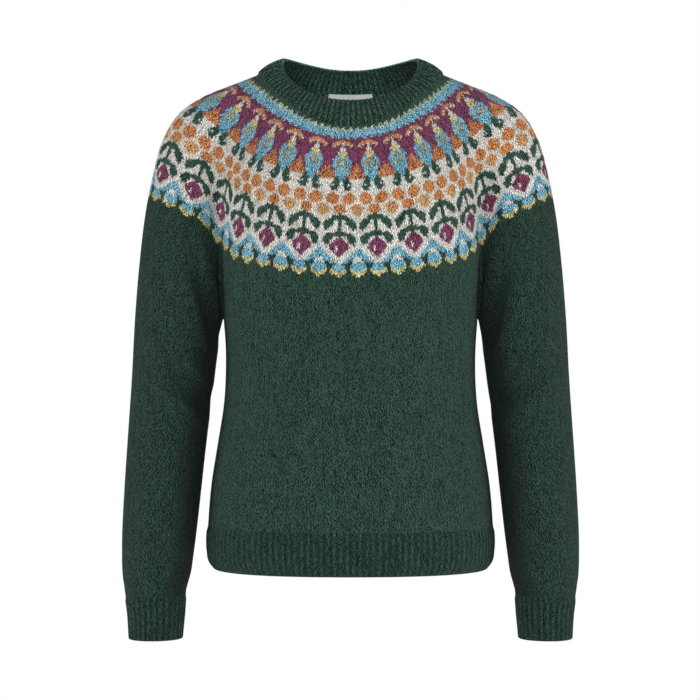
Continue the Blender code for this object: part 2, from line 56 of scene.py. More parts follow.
WALL = 0.0025
STITCH_WIDTH = 0.0023
ROW_HEIGHT = 0.00185
MIRROR = np.array((-1.0, 1.0, 1.0))
SLOPE_STEP = 0.0005
LONGEST_MOVE = 0.01
LEAST_STEEPNESS = 0.25
HAIR = 1e-9
SHARP_ANGLE = math.radians(60)
NEIGHBOURS = ("yarn", "yarn_below", "yarn_before", "yarn_after")

log = logging.getLogger("jumper")


# ---------------------------------------------------------------- curves


def named(columns: Sequence[str], rows: Rows) -> dict[str, Array]:
    """A table's columns by name."""
    return dict(zip(columns, np.array(rows).T))


def curve(x: Array, xs: Array, ys: Array) -> Array:
    """A smooth curve through stations.

    Between two stations the value is the cubic whose slopes at both ends are the averaged
    slopes of the stations.

    Args:
        x: Where to read the curve, of any shape.
        xs: The stations, rising.
        ys: The values at the stations, along the first axis.

    Returns:
        The values, of x's shape followed by the further axes of ys.
    """
    x = np.clip(x, xs[0], xs[-1])
    slope = np.gradient(ys, xs, axis=0)
    i = np.clip(np.searchsorted(xs, x) - 1, 0, len(xs) - 2)
    spread = (...,) + (None,) * (ys.ndim - 1)
    width = (xs[i + 1] - xs[i])[spread]
    t = (x - xs[i])[spread] / width
    start = (1 + 2 * t) * (1 - t) ** 2 * ys[i] + t * (1 - t) ** 2 * width * slope[i]
    end = t * t * (3 - 2 * t) * ys[i + 1] + t * t * (t - 1) * width * slope[i + 1]
    return start + end


def eased(x: Array) -> Array:
    """0 below 0, 1 above 1 and the step 3x^2 - 2x^3 between them."""
    x = np.clip(x, 0, 1)
    return x * x * (3 - 2 * x)


def unit(way: Array) -> Array:
    """The same directions, of length 1."""
    return way / np.maximum(np.linalg.norm(way, axis=-1, keepdims=True), 1e-12)


def levelled(way: Array) -> Array:
    """The same directions, turned level and of length 1."""
    return unit(way * (1, 1, 0))


def lengths(points: Array, axis: int) -> Array:
    """Running length along one axis of a grid of points, from 0 at its first.

    Args:
        points: The grid.
        axis: The axis along which the length runs.

    Returns:
        The lengths, of the grid's shape.
    """
    step = np.linalg.norm(np.diff(points, axis=axis), axis=-1)
    zero = np.zeros_like(np.take(step, [0], axis=axis))
    return np.concatenate([zero, np.cumsum(step, axis=axis)], axis=axis)


def evenly(line: Array, count: int) -> Array:
    """count + 1 points at even steps along a line of points.

    Args:
        line: The line's points (n, 3).
        count: How many steps.

    Returns:
        The points (count + 1, 3).
    """
    run = lengths(line, 0)
    at = np.linspace(0, run[-1], count + 1)
    return np.stack([np.interp(at, run, line[:, k]) for k in range(3)], -1)


def downwards(rows: int) -> Array:
    """The share of the way down, 0 to 1, of each row of a grid, as a column."""
    return np.linspace(0, 1, rows + 1)[:, None]


def mirrored(half: Array) -> Array:
    """A whole ring of columns from its right half, without its first column twice."""
    return np.concatenate([half, (half * MIRROR)[:, -2:0:-1]], axis=1)


# ---------------------------------------------------------------- the form


@dataclass
class BodyTube:
    """The body: level sections, squareness 2 for an ellipse and more for fuller corners."""

    columns: tuple[str, ...] = ("height", "half_width", "front_depth", "back_depth", "squareness")
    sections: Rows = (
        (-0.5780, 0.1440, 0.105, 0.098, 2.30),
        (-0.5665, 0.1550, 0.112, 0.104, 2.30),
        (-0.5580, 0.1615, 0.116, 0.108, 2.30),
        (-0.5450, 0.1640, 0.118, 0.110, 2.30),
        (-0.5100, 0.1630, 0.118, 0.110, 2.30),
        (-0.4700, 0.1596, 0.116, 0.108, 2.30),
        (-0.4250, 0.1526, 0.113, 0.104, 2.30),
        (-0.3740, 0.1449, 0.110, 0.100, 2.30),
        (-0.3300, 0.1430, 0.110, 0.098, 2.30),
        (-0.2880, 0.1443, 0.114, 0.101, 2.30),
        (-0.2500, 0.1480, 0.119, 0.105, 2.30),
        (-0.2000, 0.1530, 0.122, 0.109, 2.30),
        (-0.1500, 0.1560, 0.120, 0.110, 2.25),
        (-0.1100, 0.1560, 0.112, 0.108, 2.20),
        (-0.0710, 0.1500, 0.094, 0.101, 2.10),
        (-0.0400, 0.1380, 0.073, 0.093, 2.05),
        (-0.0130, 0.1130, 0.054, 0.085, 2.00),
        (0.0050, 0.0880, 0.040, 0.072, 2.00),
        (0.0300, 0.0450, 0.025, 0.050, 2.00),
    )

    def __post_init__(self) -> None:
        """Names the table's columns."""
        self.table = named(self.columns, self.sections)

    def size(self, name: str, height: Array) -> Array:
        """One column of the sections at any height."""
        return curve(height, self.table["height"], self.table[name])

    def depth(self, y: Array, height: Array) -> Array:
        """The depth in front of the middle where y is below 0, and behind it elsewhere."""
        return np.where(y < 0, self.size("front_depth", height), self.size("back_depth", height))

    def level(self, points: Array) -> Array:
        """Below 0 inside the tube and above 0 outside: (|x/w|^n + |y/d|^n)^(1/n) - 1.

        Args:
            points: Points of any grid.

        Returns:
            The level of each.
        """
        x, y, z = np.moveaxis(points, -1, 0)
        power = self.size("squareness", z)
        sideways = (np.abs(x) / self.size("half_width", z)) ** power
        return (sideways + (np.abs(y) / self.depth(y, z)) ** power) ** (1 / power) - 1

    def point(self, angle: Array, height: Array, front: bool) -> Array:
        """The tube's point at an angle: 0 at the side, a quarter turn at the centre.

        Args:
            angle: The angle round the tube.
            height: The height, of a shape that spreads to the angle's.
            front: Whether the point is on the front half.

        Returns:
            The points, on the right.
        """
        power = self.size("squareness", height)
        depth = self.size("front_depth" if front else "back_depth", height)
        x = self.size("half_width", height) * np.abs(np.cos(angle)) ** (2 / power)
        y = depth * np.abs(np.sin(angle)) ** (2 / power)
        return np.stack([x, -y if front else y, np.broadcast_to(height, x.shape)], -1)

    def angle(self, points: Array) -> Array:
        """The angle that point() takes, for points on or near the tube.

        Args:
            points: Points of any grid.

        Returns:
            The angle of each, 0 to a quarter turn.
        """
        x, y, z = np.moveaxis(points, -1, 0)
        power = self.size("squareness", z)
        sideways = (np.abs(x) / self.size("half_width", z)) ** (power / 2)
        return np.arctan2((np.abs(y) / self.depth(y, z)) ** (power / 2), sideways)

    def distance(self, points: Array) -> Array:
        """Distance to the tube's surface: the level over its steepness."""
        steepness = np.linalg.norm(slopes(self.level, points), axis=-1)
        return self.level(points) / np.maximum(steepness, 1e-6)


@dataclass
class ArmTube:
    """The right arm, by places along its outer edge from the neck to past the cuff."""

    columns: tuple[str, ...] = ("edge_x", "edge_height", "half_width", "half_depth", "middle_y")
    stations: Rows = (
        (0.1000, -0.0060, 0.0400, 0.0560, 0.006),
        (0.1310, -0.0120, 0.0450, 0.0580, 0.006),
        (0.1680, -0.0235, 0.0500, 0.0595, 0.005),
        (0.1995, -0.0460, 0.0530, 0.0600, 0.004),
        (0.2175, -0.0790, 0.0540, 0.0600, 0.002),
        (0.2268, -0.1140, 0.0540, 0.0590, 0.001),
        (0.2340, -0.1495, 0.0535, 0.0580, 0.000),
        (0.2427, -0.2185, 0.0523, 0.0560, 0.000),
        (0.2477, -0.2800, 0.0499, 0.0540, 0.000),
        (0.2511, -0.3480, 0.0471, 0.0510, -0.002),
        (0.2558, -0.4252, 0.0449, 0.0480, -0.008),
        (0.2586, -0.4764, 0.0437, 0.0460, -0.014),
        (0.2605, -0.5443, 0.0410, 0.0420, -0.022),
        (0.2590, -0.5780, 0.0381, 0.0370, -0.027),
        (0.2560, -0.5948, 0.0349, 0.0330, -0.029),
        (0.2532, -0.6117, 0.0326, 0.0305, -0.031),
        (0.2505, -0.6456, 0.0296, 0.0275, -0.034),
        (0.2480, -0.6800, 0.0285, 0.0265, -0.037),
    )
    places: int = 60
    halvings: int = 30

    def __post_init__(self) -> None:
        """Works out the middle line at even places, the way out from it and its two radii."""
        rows = named(self.columns, self.stations)
        run = lengths(np.stack([rows["edge_x"], rows["edge_height"]], -1), 0)
        at = np.linspace(0, run[-1], self.places)
        even = {name: curve(at, run, column) for name, column in rows.items()}
        out_x, out_z = self._square_to(even["edge_x"], even["edge_height"])
        x = even["edge_x"] - even["half_width"] * out_x
        z = even["edge_height"] - even["half_width"] * out_z
        out_x, out_z = self._square_to(x, z)
        self.line = {"x": x, "z": z, "out_x": out_x, "out_z": out_z, "y": even["middle_y"],
                     "width": even["half_width"], "depth": even["half_depth"]}

    @staticmethod
    def _square_to(x: Array, z: Array) -> tuple[Array, Array]:
        """The unit way out, square to a line that runs down the right arm.

        Args:
            x: The line's places to the right.
            z: Its heights.

        Returns:
            The way out's two parts at each point.
        """
        along_x, along_z = np.gradient(x), np.gradient(z)
        length = np.hypot(along_x, along_z)
        return -along_z / length, along_x / length

    def at(self, place: Array) -> dict[str, Array]:
        """The middle line, way out and radii at any place along it."""
        numbers = np.arange(self.places)
        return {name: curve(place, numbers, column) for name, column in self.line.items()}

    def place_of(self, points: Array) -> Array:
        """For points (n, 3): the place along the middle line nearest to each.

        Args:
            points: The points, of either arm.

        Returns:
            The places (n,).
        """
        x, z = np.abs(points[:, :1]), points[:, 2:]
        line_x, line_z = self.line["x"], self.line["z"]
        step_x, step_z = np.diff(line_x), np.diff(line_z)
        share = (x - line_x[:-1]) * step_x + (z - line_z[:-1]) * step_z
        share = np.clip(share / (step_x ** 2 + step_z ** 2), 0, 1)
        away_x, away_z = x - line_x[:-1] - share * step_x, z - line_z[:-1] - share * step_z
        nearest = (away_x ** 2 + away_z ** 2).argmin(axis=1)
        return nearest + share[np.arange(len(points)), nearest]

    def distance(self, points: Array) -> Array:
        """Distance of points (n, 3) to the surface of either arm's tube.

        Args:
            points: The points.

        Returns:
            The distances (n,), below 0 inside.
        """
        here = self.at(self.place_of(points))
        away = np.hypot(np.abs(points[:, 0]) - here["x"], points[:, 2] - here["z"])
        ahead = (points[:, 1] - here["y"]) * here["width"] / here["depth"]
        return np.hypot(away, ahead) - here["width"]

    def point(self, angle: Array, place: Array) -> Array:
        """The right arm's point: angle 0 at its outer edge, a quarter turn at its front.

        Args:
            angle: The angle round the arm.
            place: The place along it, of the same shape.

        Returns:
            The points.
        """
        here = self.at(place)
        out = here["width"] * np.cos(angle)
        y = here["y"] - here["depth"] * np.sin(angle)
        return np.stack([here["x"] + out * here["out_x"], y, here["z"] + out * here["out_z"]], -1)

    def angle(self, points: Array) -> tuple[Array, Array]:
        """Angle and place that point() takes, for points (n, 3) near the right arm.

        Args:
            points: The points.

        Returns:
            The angles (n,), 0 to a turn, and the places (n,).
        """
        place = self.place_of(points)
        here = self.at(place)
        out = (points[:, 0] - here["x"]) * here["out_x"]
        out += (points[:, 2] - here["z"]) * here["out_z"]
        angle = np.arctan2((here["y"] - points[:, 1]) / here["depth"], out / here["width"])
        return angle % (2 * np.pi), place

    def place_at(self, angle: Array, height: Array) -> Array:
        """The place where the surface at this angle is at this height, by halving.

        Args:
            angle: The angles (n,).
            height: The heights (n,).

        Returns:
            The places (n,).
        """
        upper, lower = np.zeros_like(angle), np.full_like(angle, self.places - 1)
        for _ in range(self.halvings):
            middle = (upper + lower) / 2
            above = self.point(angle, middle)[:, 2] > height
            upper, lower = np.where(above, middle, upper), np.where(above, lower, middle)
        return upper


def slopes(level: Callable[[Array], Array], points: Array) -> Array:
    """The gradient of a level function, by central differences.

    Args:
        level: The function, of points (n, 3).
        points: Where to take its gradient.

    Returns:
        The gradients (n, 3).
    """
    shifts = np.eye(3) * SLOPE_STEP
    rises = [level(points + shift) - level(points - shift) for shift in shifts]
    return np.stack(rises, -1) / (2 * SLOPE_STEP)


@dataclass
class Cloth:
    """The outside of the cloth: both tubes, rounded together."""

    body: BodyTube = field(default_factory=BodyTube)
    arm: ArmTube = field(default_factory=ArmTube)
    shoulder_blend: float = 0.030
    crease_blend: float = 0.004
    crease_end: float = -0.170
    shoulder_start: float = -0.070

    def distance(self, points: Array) -> Array:
        """Distance to the cloth: the smaller of the tubes' a and b, less (r - |a - b|)^2 / 4r.

        Args:
            points: The points (n, 3).

        Returns:
            The distances (n,), below 0 inside.
        """
        rise = (points[:, 2] - self.crease_end) / (self.shoulder_start - self.crease_end)
        radius = self.crease_blend + (self.shoulder_blend - self.crease_blend) * eased(rise)
        body, arm = self.body.distance(points), self.arm.distance(points)
        overlap = np.maximum(radius - np.abs(body - arm), 0)
        return np.minimum(body, arm) - overlap ** 2 / (4 * radius)

    def normals(self, points: Array) -> Array:
        """The way out of the cloth at points of any grid."""
        return unit(slopes(self.distance, points.reshape(-1, 3))).reshape(points.shape)

    def pressed(self, points: Array, level: Array | float = 0.0, rounds: int = 6) -> Array:
        """Points moved along the slope until they are at a small distance from the cloth.

        Args:
            points: Points of any grid.
            level: Their distance from the cloth, one for all or one for each.
            rounds: How many moves each makes.

        Returns:
            The moved points.
        """
        flat = points.reshape(-1, 3).copy()
        level = np.broadcast_to(level, points.shape[:-1]).reshape(-1)
        for _ in range(rounds):
            way = slopes(self.distance, flat)
            off = (self.distance(flat) - level) / np.maximum((way ** 2).sum(-1), LEAST_STEEPNESS)
            flat -= np.clip(off, -LONGEST_MOVE, LONGEST_MOVE)[:, None] * way
        return flat.reshape(points.shape)


@dataclass
class Seams:
    """The lines along which the pieces meet, and the yoke's surface between two of them.

    The neck's seam and edge are each given by half width, depth in front and depth behind.
    """

    cloth: Cloth = field(default_factory=Cloth)
    neck_seam: Three = (0.107, 0.087, 0.086)
    neck_edge: Three = (0.0775, 0.068, 0.068)
    neck_columns: tuple[str, ...] = ("forward", "seam_height", "edge_height")
    neck_heights: Rows = (
        (-1.00, -0.0130, 0.0139),
        (-0.85, -0.0094, 0.0175),
        (-0.55, -0.0039, 0.0212),
        (-0.20, -0.0005, 0.0202),
        (0.05, -0.0003, 0.0145),
        (0.28, -0.0053, 0.0015),
        (0.49, -0.0161, -0.0092),
        (0.69, -0.0319, -0.0197),
        (0.86, -0.0496, -0.0290),
        (1.00, -0.0670, -0.0356),
    )
    yoke_front: float = -0.2365
    yoke_back: float = -0.1950
    yoke_sleeve: float = -0.1415
    yoke_crease: float = -0.1970
    yoke_body_side: float = -0.2085
    yoke_sleeve_side: float = -0.1840
    crease_share: float = 0.12
    hem_top: float = -0.5170
    hem_bottom: float = -0.5665
    cuff_top: float = -0.5948
    cuff_bottom: float = -0.6438
    fine: int = 721
    front_columns: int = 14
    sleeve_columns: int = 19
    back_columns: int = 12
    armhole_columns: int = 5
    yoke_rows: int = 9
    yoke_rounds: int = 80
    yoke_pad: int = 3
    bulge_front: float = 0.012
    bulge_arm: float = 0.036
    search_rounds: int = 30
    search_x: float = 0.147
    search_radii: tuple[float, float] = (0.042, 0.075)

    def armhole(self, steps: int) -> Array:
        """The crease between body and right arm, from the yoke's front under the arm to its back.

        Each point lies at a quarter of the crease's blend from both tubes, on a ray from a pole
        in the side plane that turns from forwards, through straight down, to backwards.

        Args:
            steps: Steps from the front to the lowest point.

        Returns:
            2 * steps + 1 points.
        """
        cloth, off = self.cloth, self.cloth.crease_blend / 4
        turn = np.linspace(0, np.pi, 2 * steps + 1)
        half_depth, drop = self.search_radii
        points = np.stack([np.full_like(turn, self.search_x), -half_depth * np.cos(turn),
                           self.yoke_crease - drop * np.sin(turn)], -1)
        across = np.stack([np.zeros_like(turn), np.sin(turn), -np.cos(turn)], -1)
        pole = np.array((0, 0, self.yoke_crease))
        for _ in range(self.search_rounds):
            miss = np.stack([cloth.body.distance(points) - off, cloth.arm.distance(points) - off,
                             ((points - pole) * across).sum(-1)], -1)
            matrix = np.stack([slopes(cloth.body.distance, points),
                               slopes(cloth.arm.distance, points), across], 1)
            move = np.linalg.solve(matrix, miss[..., None])[..., 0]
            points = points - np.clip(move, -LONGEST_MOVE, LONGEST_MOVE)
        return points

    def edge_height(self, share: Array, centre: float, side: float) -> Array:
        """The yoke's edge from a centre (share 0) to the crease (share 1).

        It moves with the square of the share to the side's height, and its last stretch runs
        into the crease along an eased step.
        """
        into = eased((share - 1 + self.crease_share) / self.crease_share)
        return centre + (side - centre) * share ** 2 + (self.yoke_crease - side) * into

    def over_body(self, crease: Array, centre: float, side: float, front: bool) -> Array:
        """The yoke's edge over the body, from a centre to a crease.

        Args:
            crease: The point where the armhole begins or ends.
            centre: The edge's height at the centre.
            side: Its height at the side.
            front: Whether it is the front's.

        Returns:
            The line's points, from the centre.
        """
        body = self.cloth.body
        share = np.linspace(0, 1, self.fine)
        x, height = share * crease[0], self.edge_height(share, centre, side)
        power = body.size("squareness", height)
        depth = body.size("front_depth" if front else "back_depth", height)
        across = np.minimum(x / body.size("half_width", height), 1)
        y = depth * (1 - across ** power) ** (1 / power)
        line = self.cloth.pressed(np.stack([x, -y if front else y, height], -1))
        line[0, 0], line[-1] = 0, crease
        return line

    def yoke_edge(self, front_crease: Array, back_crease: Array, finer: int) -> Array:
        """Lower edge of the yoke's right half.

        Args:
            front_crease: Where the armhole begins, in front.
            back_crease: Where it ends, behind.
            finer: Columns for each of the packed yoke's.

        Returns:
            Points from the centre front over the arm to the centre back.
        """
        arm = self.cloth.arm
        ends = arm.angle(np.stack([front_crease, back_crease]))[0]
        angle = np.linspace(ends[0], ends[1] - 2 * np.pi, self.fine)
        limit = np.where(angle > 0, ends[0], 2 * np.pi - ends[1])
        share = np.sqrt((1 - np.cos(angle)) / (1 - np.cos(limit)))
        height = self.edge_height(share, self.yoke_sleeve, self.yoke_sleeve_side)
        over_arm = self.cloth.pressed(arm.point(angle, arm.place_at(angle, height)))
        over_arm[0], over_arm[-1] = front_crease, back_crease
        front = self.over_body(front_crease, self.yoke_front, self.yoke_body_side, True)
        back = self.over_body(back_crease, self.yoke_back, self.yoke_back, False)
        return np.concatenate([evenly(front, finer * self.front_columns)[:-1],
                               evenly(over_arm, finer * self.sleeve_columns)[:-1],
                               evenly(back, finer * self.back_columns)[::-1]])

    def neck_ring(self, size: Three, name: str, half_columns: int) -> Array:
        """Right half of a ring of the neck, evenly spaced from centre front to centre back.

        Args:
            size: The ring's half width, depth in front and depth behind.
            name: The column of neck_heights that holds its heights.
            half_columns: Steps of the half ring.

        Returns:
            The points (half_columns + 1, 3).
        """
        half_width, front_depth, back_depth = size
        heights = named(self.neck_columns, self.neck_heights)
        forward = np.cos(np.linspace(0, np.pi, self.fine))
        depth = np.where(forward > 0, front_depth, back_depth)
        height = curve(forward, heights["forward"], heights[name])
        x = half_width * np.sqrt(1 - forward ** 2)
        return evenly(np.stack([x, -depth * forward, height], -1), half_columns)

    def smoothed(self, grid: Array, level: Array, rounds: int) -> Array:
        """A half grid whose inner rows settle between their neighbours, pressed on the cloth.

        Args:
            grid: The half grid. Its first and last rows stay.
            level: Each point's distance from the cloth.
            rounds: How many times it settles.

        Returns:
            The settled grid.
        """
        for _ in range(rounds):
            around = np.concatenate([grid[:, 1:2] * MIRROR, grid, grid[:, -2:-1] * MIRROR], 1)
            beside = (around[1:-1, :-2] + around[1:-1, 2:]) / 2
            above_below = (grid[:-2] + grid[2:]) / 2
            inner = self.cloth.pressed((beside + above_below) / 2, level[1:-1], rounds=2)
            grid = np.concatenate([grid[:1], inner, grid[-1:]])
        return grid

    def yoke_half(self, edge: Array, finer: int, rows: int, rounds: int) -> tuple[Array, Array]:
        """The yoke's right half, worked out coarsely, filled in smoothly and settled again.

        Args:
            edge: Its lower edge, with finer columns for each coarse one.
            finer: That number.
            rows: Rows of the fine grid.
            rounds: Smoothing rounds of the fine grid.

        Returns:
            The grid (rows + 1, columns, 3) and its distance from the cloth (rows + 1, columns).
        """
        coarse_edge = edge[::finer]
        seam = self.neck_ring(self.neck_seam, "seam_height", len(coarse_edge) - 1)
        down = downwards(self.yoke_rows)
        sideways = (coarse_edge[:, 0] / coarse_edge[:, 0].max())[:, None]
        span = coarse_edge - seam
        outward = unit(span * (1, 1, 0) + (0, 0, 1) * np.abs(span))
        bulge = self.bulge_front + (self.bulge_arm - self.bulge_front) * sideways
        crown = (4 * down * (1 - down))[:, :, None] * bulge * outward
        grid = (1 - down)[:, :, None] * seam + down[:, :, None] * coarse_edge + crown
        level = self.cloth.distance(seam) * (1 - down) ** 2
        grid[1:-1] = self.cloth.pressed(grid[1:-1], level[1:-1])
        grid = self.smoothed(grid, level, self.yoke_rounds)

        fine_seam = self.neck_ring(self.neck_seam, "seam_height", len(edge) - 1)
        pad, other_half = self.yoke_pad, grid * MIRROR
        padded = np.concatenate([other_half[:, pad:0:-1], grid,
                                 other_half[:, -2:-2 - pad:-1]], 1)
        beside = np.linspace(0, grid.shape[1] - 1, len(edge)) + pad
        wide = curve(beside, np.arange(padded.shape[1]), np.moveaxis(padded, 1, 0))
        below = np.linspace(0, self.yoke_rows, rows + 1)
        tall = curve(below, np.arange(self.yoke_rows + 1), np.moveaxis(wide, 1, 0))
        tall[0], tall[-1] = fine_seam, edge
        level = self.cloth.distance(fine_seam) * (1 - downwards(rows)) ** 2
        return self.smoothed(tall, level, rounds), level


# ---------------------------------------------------------------- meshes


@dataclass
class Mesh:
    """Points, faces of any number of corners, and what the faces and their corners carry."""

    points: Array
    corners: Array
    counts: Array
    stitches: Array
    inside: Array
    colours: dict[str, Array] = field(default_factory=dict)

    def as_piece(self, name: str, finishes: Sequence[bpy.types.Material]) -> bpy.types.Object:
        """Makes the object.

        Args:
            name: Its name.
            finishes: The outside's material, the inside's and the free edge's.

        Returns:
            The object, at the origin.
        """
        mesh = bpy.data.meshes.new(name)
        mesh.vertices.add(len(self.points))
        mesh.vertices.foreach_set("co", self.points.astype(np.float32).ravel())
        mesh.loops.add(len(self.corners))
        mesh.loops.foreach_set("vertex_index", self.corners.astype(np.int32))
        mesh.polygons.add(len(self.counts))
        starts = np.concatenate([[0], np.cumsum(self.counts)[:-1]])
        mesh.polygons.foreach_set("loop_start", starts.astype(np.int32))
        mesh.polygons.foreach_set("material_index", self.inside.astype(np.int32))
        mesh.update(calc_edges=True)
        mesh.validate()
        layer = mesh.uv_layers.new(name="stitches")
        layer.uv.foreach_set("vector", self.stitches.astype(np.float32).ravel())
        for title, colour in self.colours.items():
            layer = mesh.attributes.new(title, "FLOAT_COLOR", "FACE")
            layer.data.foreach_set("color", colour.astype(np.float32).ravel())
        for finish in finishes:
            mesh.materials.append(finish)
        mesh.shade_smooth()
        mesh.set_sharp_from_angle(angle=SHARP_ANGLE)
        piece = bpy.data.objects.new(name, mesh)
        bpy.context.scene.collection.objects.link(piece)
        return piece


def ring_mesh(rings: Array, left: Array, right: Array, inside: Array, wrap: bool) -> Mesh:
    """A closed wall from a grid whose rows run down its outside and up its inside.

    Rows close round on themselves. Columns close too if wrap is true, and else each end is
    capped, row by row, between the outside and the inside.

    Args:
        rings: Points (2 * rows, columns, 3), outside first.
        left: Stitch coordinates at the left of each face (2 * rows, faces across, 2).
        right: The same at its right.
        inside: For each row of faces, the place of its material in its piece's list.
        wrap: Whether the columns close.

    Returns:
        The mesh.
    """
    rows, columns = rings.shape[:2]
    across = columns if wrap else columns - 1
    r, c = np.meshgrid(np.arange(rows), np.arange(across), indexing="ij")
    r1, c1 = (r + 1) % rows, (c + 1) % columns
    quads = np.stack([r * columns + c, r1 * columns + c, r1 * columns + c1, r * columns + c1], -1)
    stitches = np.stack([left[r, c], left[r1, c], right[r1, c], right[r, c]], 2)
    quads, stitches = quads.reshape(-1, 4), stitches.reshape(-1, 4, 2)
    shows_inside = np.repeat(inside, across)
    if not wrap:
        half = rows // 2
        top = np.arange(half - 1)
        inner, inner_below = rows - 1 - top, rows - 2 - top
        caps = []
        for column, order in ((0, (1, 0, 3, 2)), (columns - 1, (0, 1, 2, 3))):
            ends = np.stack([top, top + 1, inner_below, inner], -1) * columns + column
            caps.append(ends[:, order])
        quads = np.concatenate([quads, *caps])
        stitches = np.concatenate([stitches, np.zeros((2 * len(top), 4, 2))])
        shows_inside = np.concatenate([shows_inside, np.zeros(2 * len(top))])
    return Mesh(rings.reshape(-1, 3), quads.ravel(), np.full(len(quads), 4),
                stitches.reshape(-1, 2), shows_inside)


def plain_wall(outer: Array, way_out: Array, stitches: tuple[Array, Array], wrap: bool) -> Mesh:
    """A wall inwards from a grid: each inner point is its outer one less WALL along the way out.

    Args:
        outer: The outside's points (rows, columns, 3).
        way_out: The way out at each.
        stitches: Stitch coordinates at the left and right of each face.
        wrap: Whether the columns close.

    Returns:
        The mesh.
    """
    rings = np.concatenate([outer, (outer - WALL * way_out)[::-1]])
    left, right = (np.concatenate([side, side[::-1]]) for side in stitches)
    rows = len(outer)
    inside = (np.arange(2 * rows) >= rows).astype(int)
    inside[-1] = 0
    return ring_mesh(rings, left, right, inside, wrap)


# ---------------------------------------------------------------- folds


@dataclass(frozen=True)
class Folds:
    """Soft troughs and ridges, each along a line as seen from the front or the back.

    A row holds x0, z0, x1, z1, width, height and facing: -1 for the front, 1 for the back. It
    moves a point by height * exp(-(away / width)^2), faded towards the line's ends.
    """

    rows: Rows
    strength: float
    seam_fade: float
    overrun: float = 0.25
    end_fade: float = 0.4
    turning: float = 1.5

    def lift(self, points: Array, way_out: Array) -> Array:
        """How far out each point of a grid moves.

        Args:
            points: The grid's points.
            way_out: The way out at each.

        Returns:
            The moves, in metres.
        """
        lift = np.zeros(points.shape[:-1])
        for x0, z0, x1, z1, width, height, facing in self.rows:
            along = np.array((x1 - x0, z1 - z0))
            run = np.linalg.norm(along)
            along = along / run
            rel_x, rel_z = points[..., 0] - x0, points[..., 2] - z0
            place = (rel_x * along[0] + rel_z * along[1]) / run
            away = rel_x * along[1] - rel_z * along[0]
            fade = eased((place + self.overrun) / self.end_fade)
            fade = fade * eased((1 + self.overrun - place) / self.end_fade)
            side = eased(0.5 + self.turning * facing * way_out[..., 1])
            lift += self.strength * height * np.exp(-(away / width) ** 2) * fade * side
        return lift

    def laid(self, grid: Array, way_out: Array) -> Array:
        """A grid with its folds, faded towards its first and last rows.

        Args:
            grid: The grid's points.
            way_out: The way out at each.

        Returns:
            The moved points.
        """
        down = downwards(len(grid) - 1)
        fade = eased(down * self.seam_fade) * eased((1 - down) * self.seam_fade)
        return grid + (self.lift(grid, way_out) * fade)[..., None] * way_out


# ---------------------------------------------------------------- shader nodes


def through(operation: str, says: str) -> Callable[..., "Wire"]:
    """A method that takes its wire, and any other values, through one Math node.

    Args:
        operation: The node's operation.
        says: The method's docstring.

    Returns:
        The method.
    """

    def method(self: "Wire", *others: Any) -> "Wire":
        """This wire and others through the node."""
        return self.maths(operation, *others)

    method.__doc__ = says
    return method


class Wire:
    """One output socket of a shader, with arithmetic on its value."""

    __add__ = __radd__ = through("ADD", "This plus other.")
    __mul__ = __rmul__ = through("MULTIPLY", "This times other.")
    __sub__ = through("SUBTRACT", "This less other.")
    __pow__ = through("POWER", "This to the power of other.")
    __gt__ = through("GREATER_THAN", "1 where this is over other, else 0.")
    floor = through("FLOOR", "The whole number below.")
    fraction = through("FRACT", "The part after the point.")
    size = through("ABSOLUTE", "The value without its sign.")

    def __init__(self, shader: "Shader", socket: bpy.types.NodeSocket) -> None:
        """Keeps the shader and the socket."""
        self.shader, self.socket = shader, socket

    def maths(self, operation: str, *others: Any) -> "Wire":
        """This value and others through one Math node."""
        return self.shader.node("ShaderNodeMath", {"operation": operation}, [self, *others])

    def __rsub__(self, other: Any) -> "Wire":
        """Other less this."""
        return self.shader.node("ShaderNodeMath", {"operation": "SUBTRACT"}, [other, self])

    def arch(self) -> "Wire":
        """sin(pi x): 0 at 0 and 1, and 1 between them."""
        return (self * math.pi).maths("SINE")

    def clamped(self, low: float = 0.0, high: float = 1.0) -> "Wire":
        """The value held between two limits."""
        return self.maths("MAXIMUM", low).maths("MINIMUM", high)


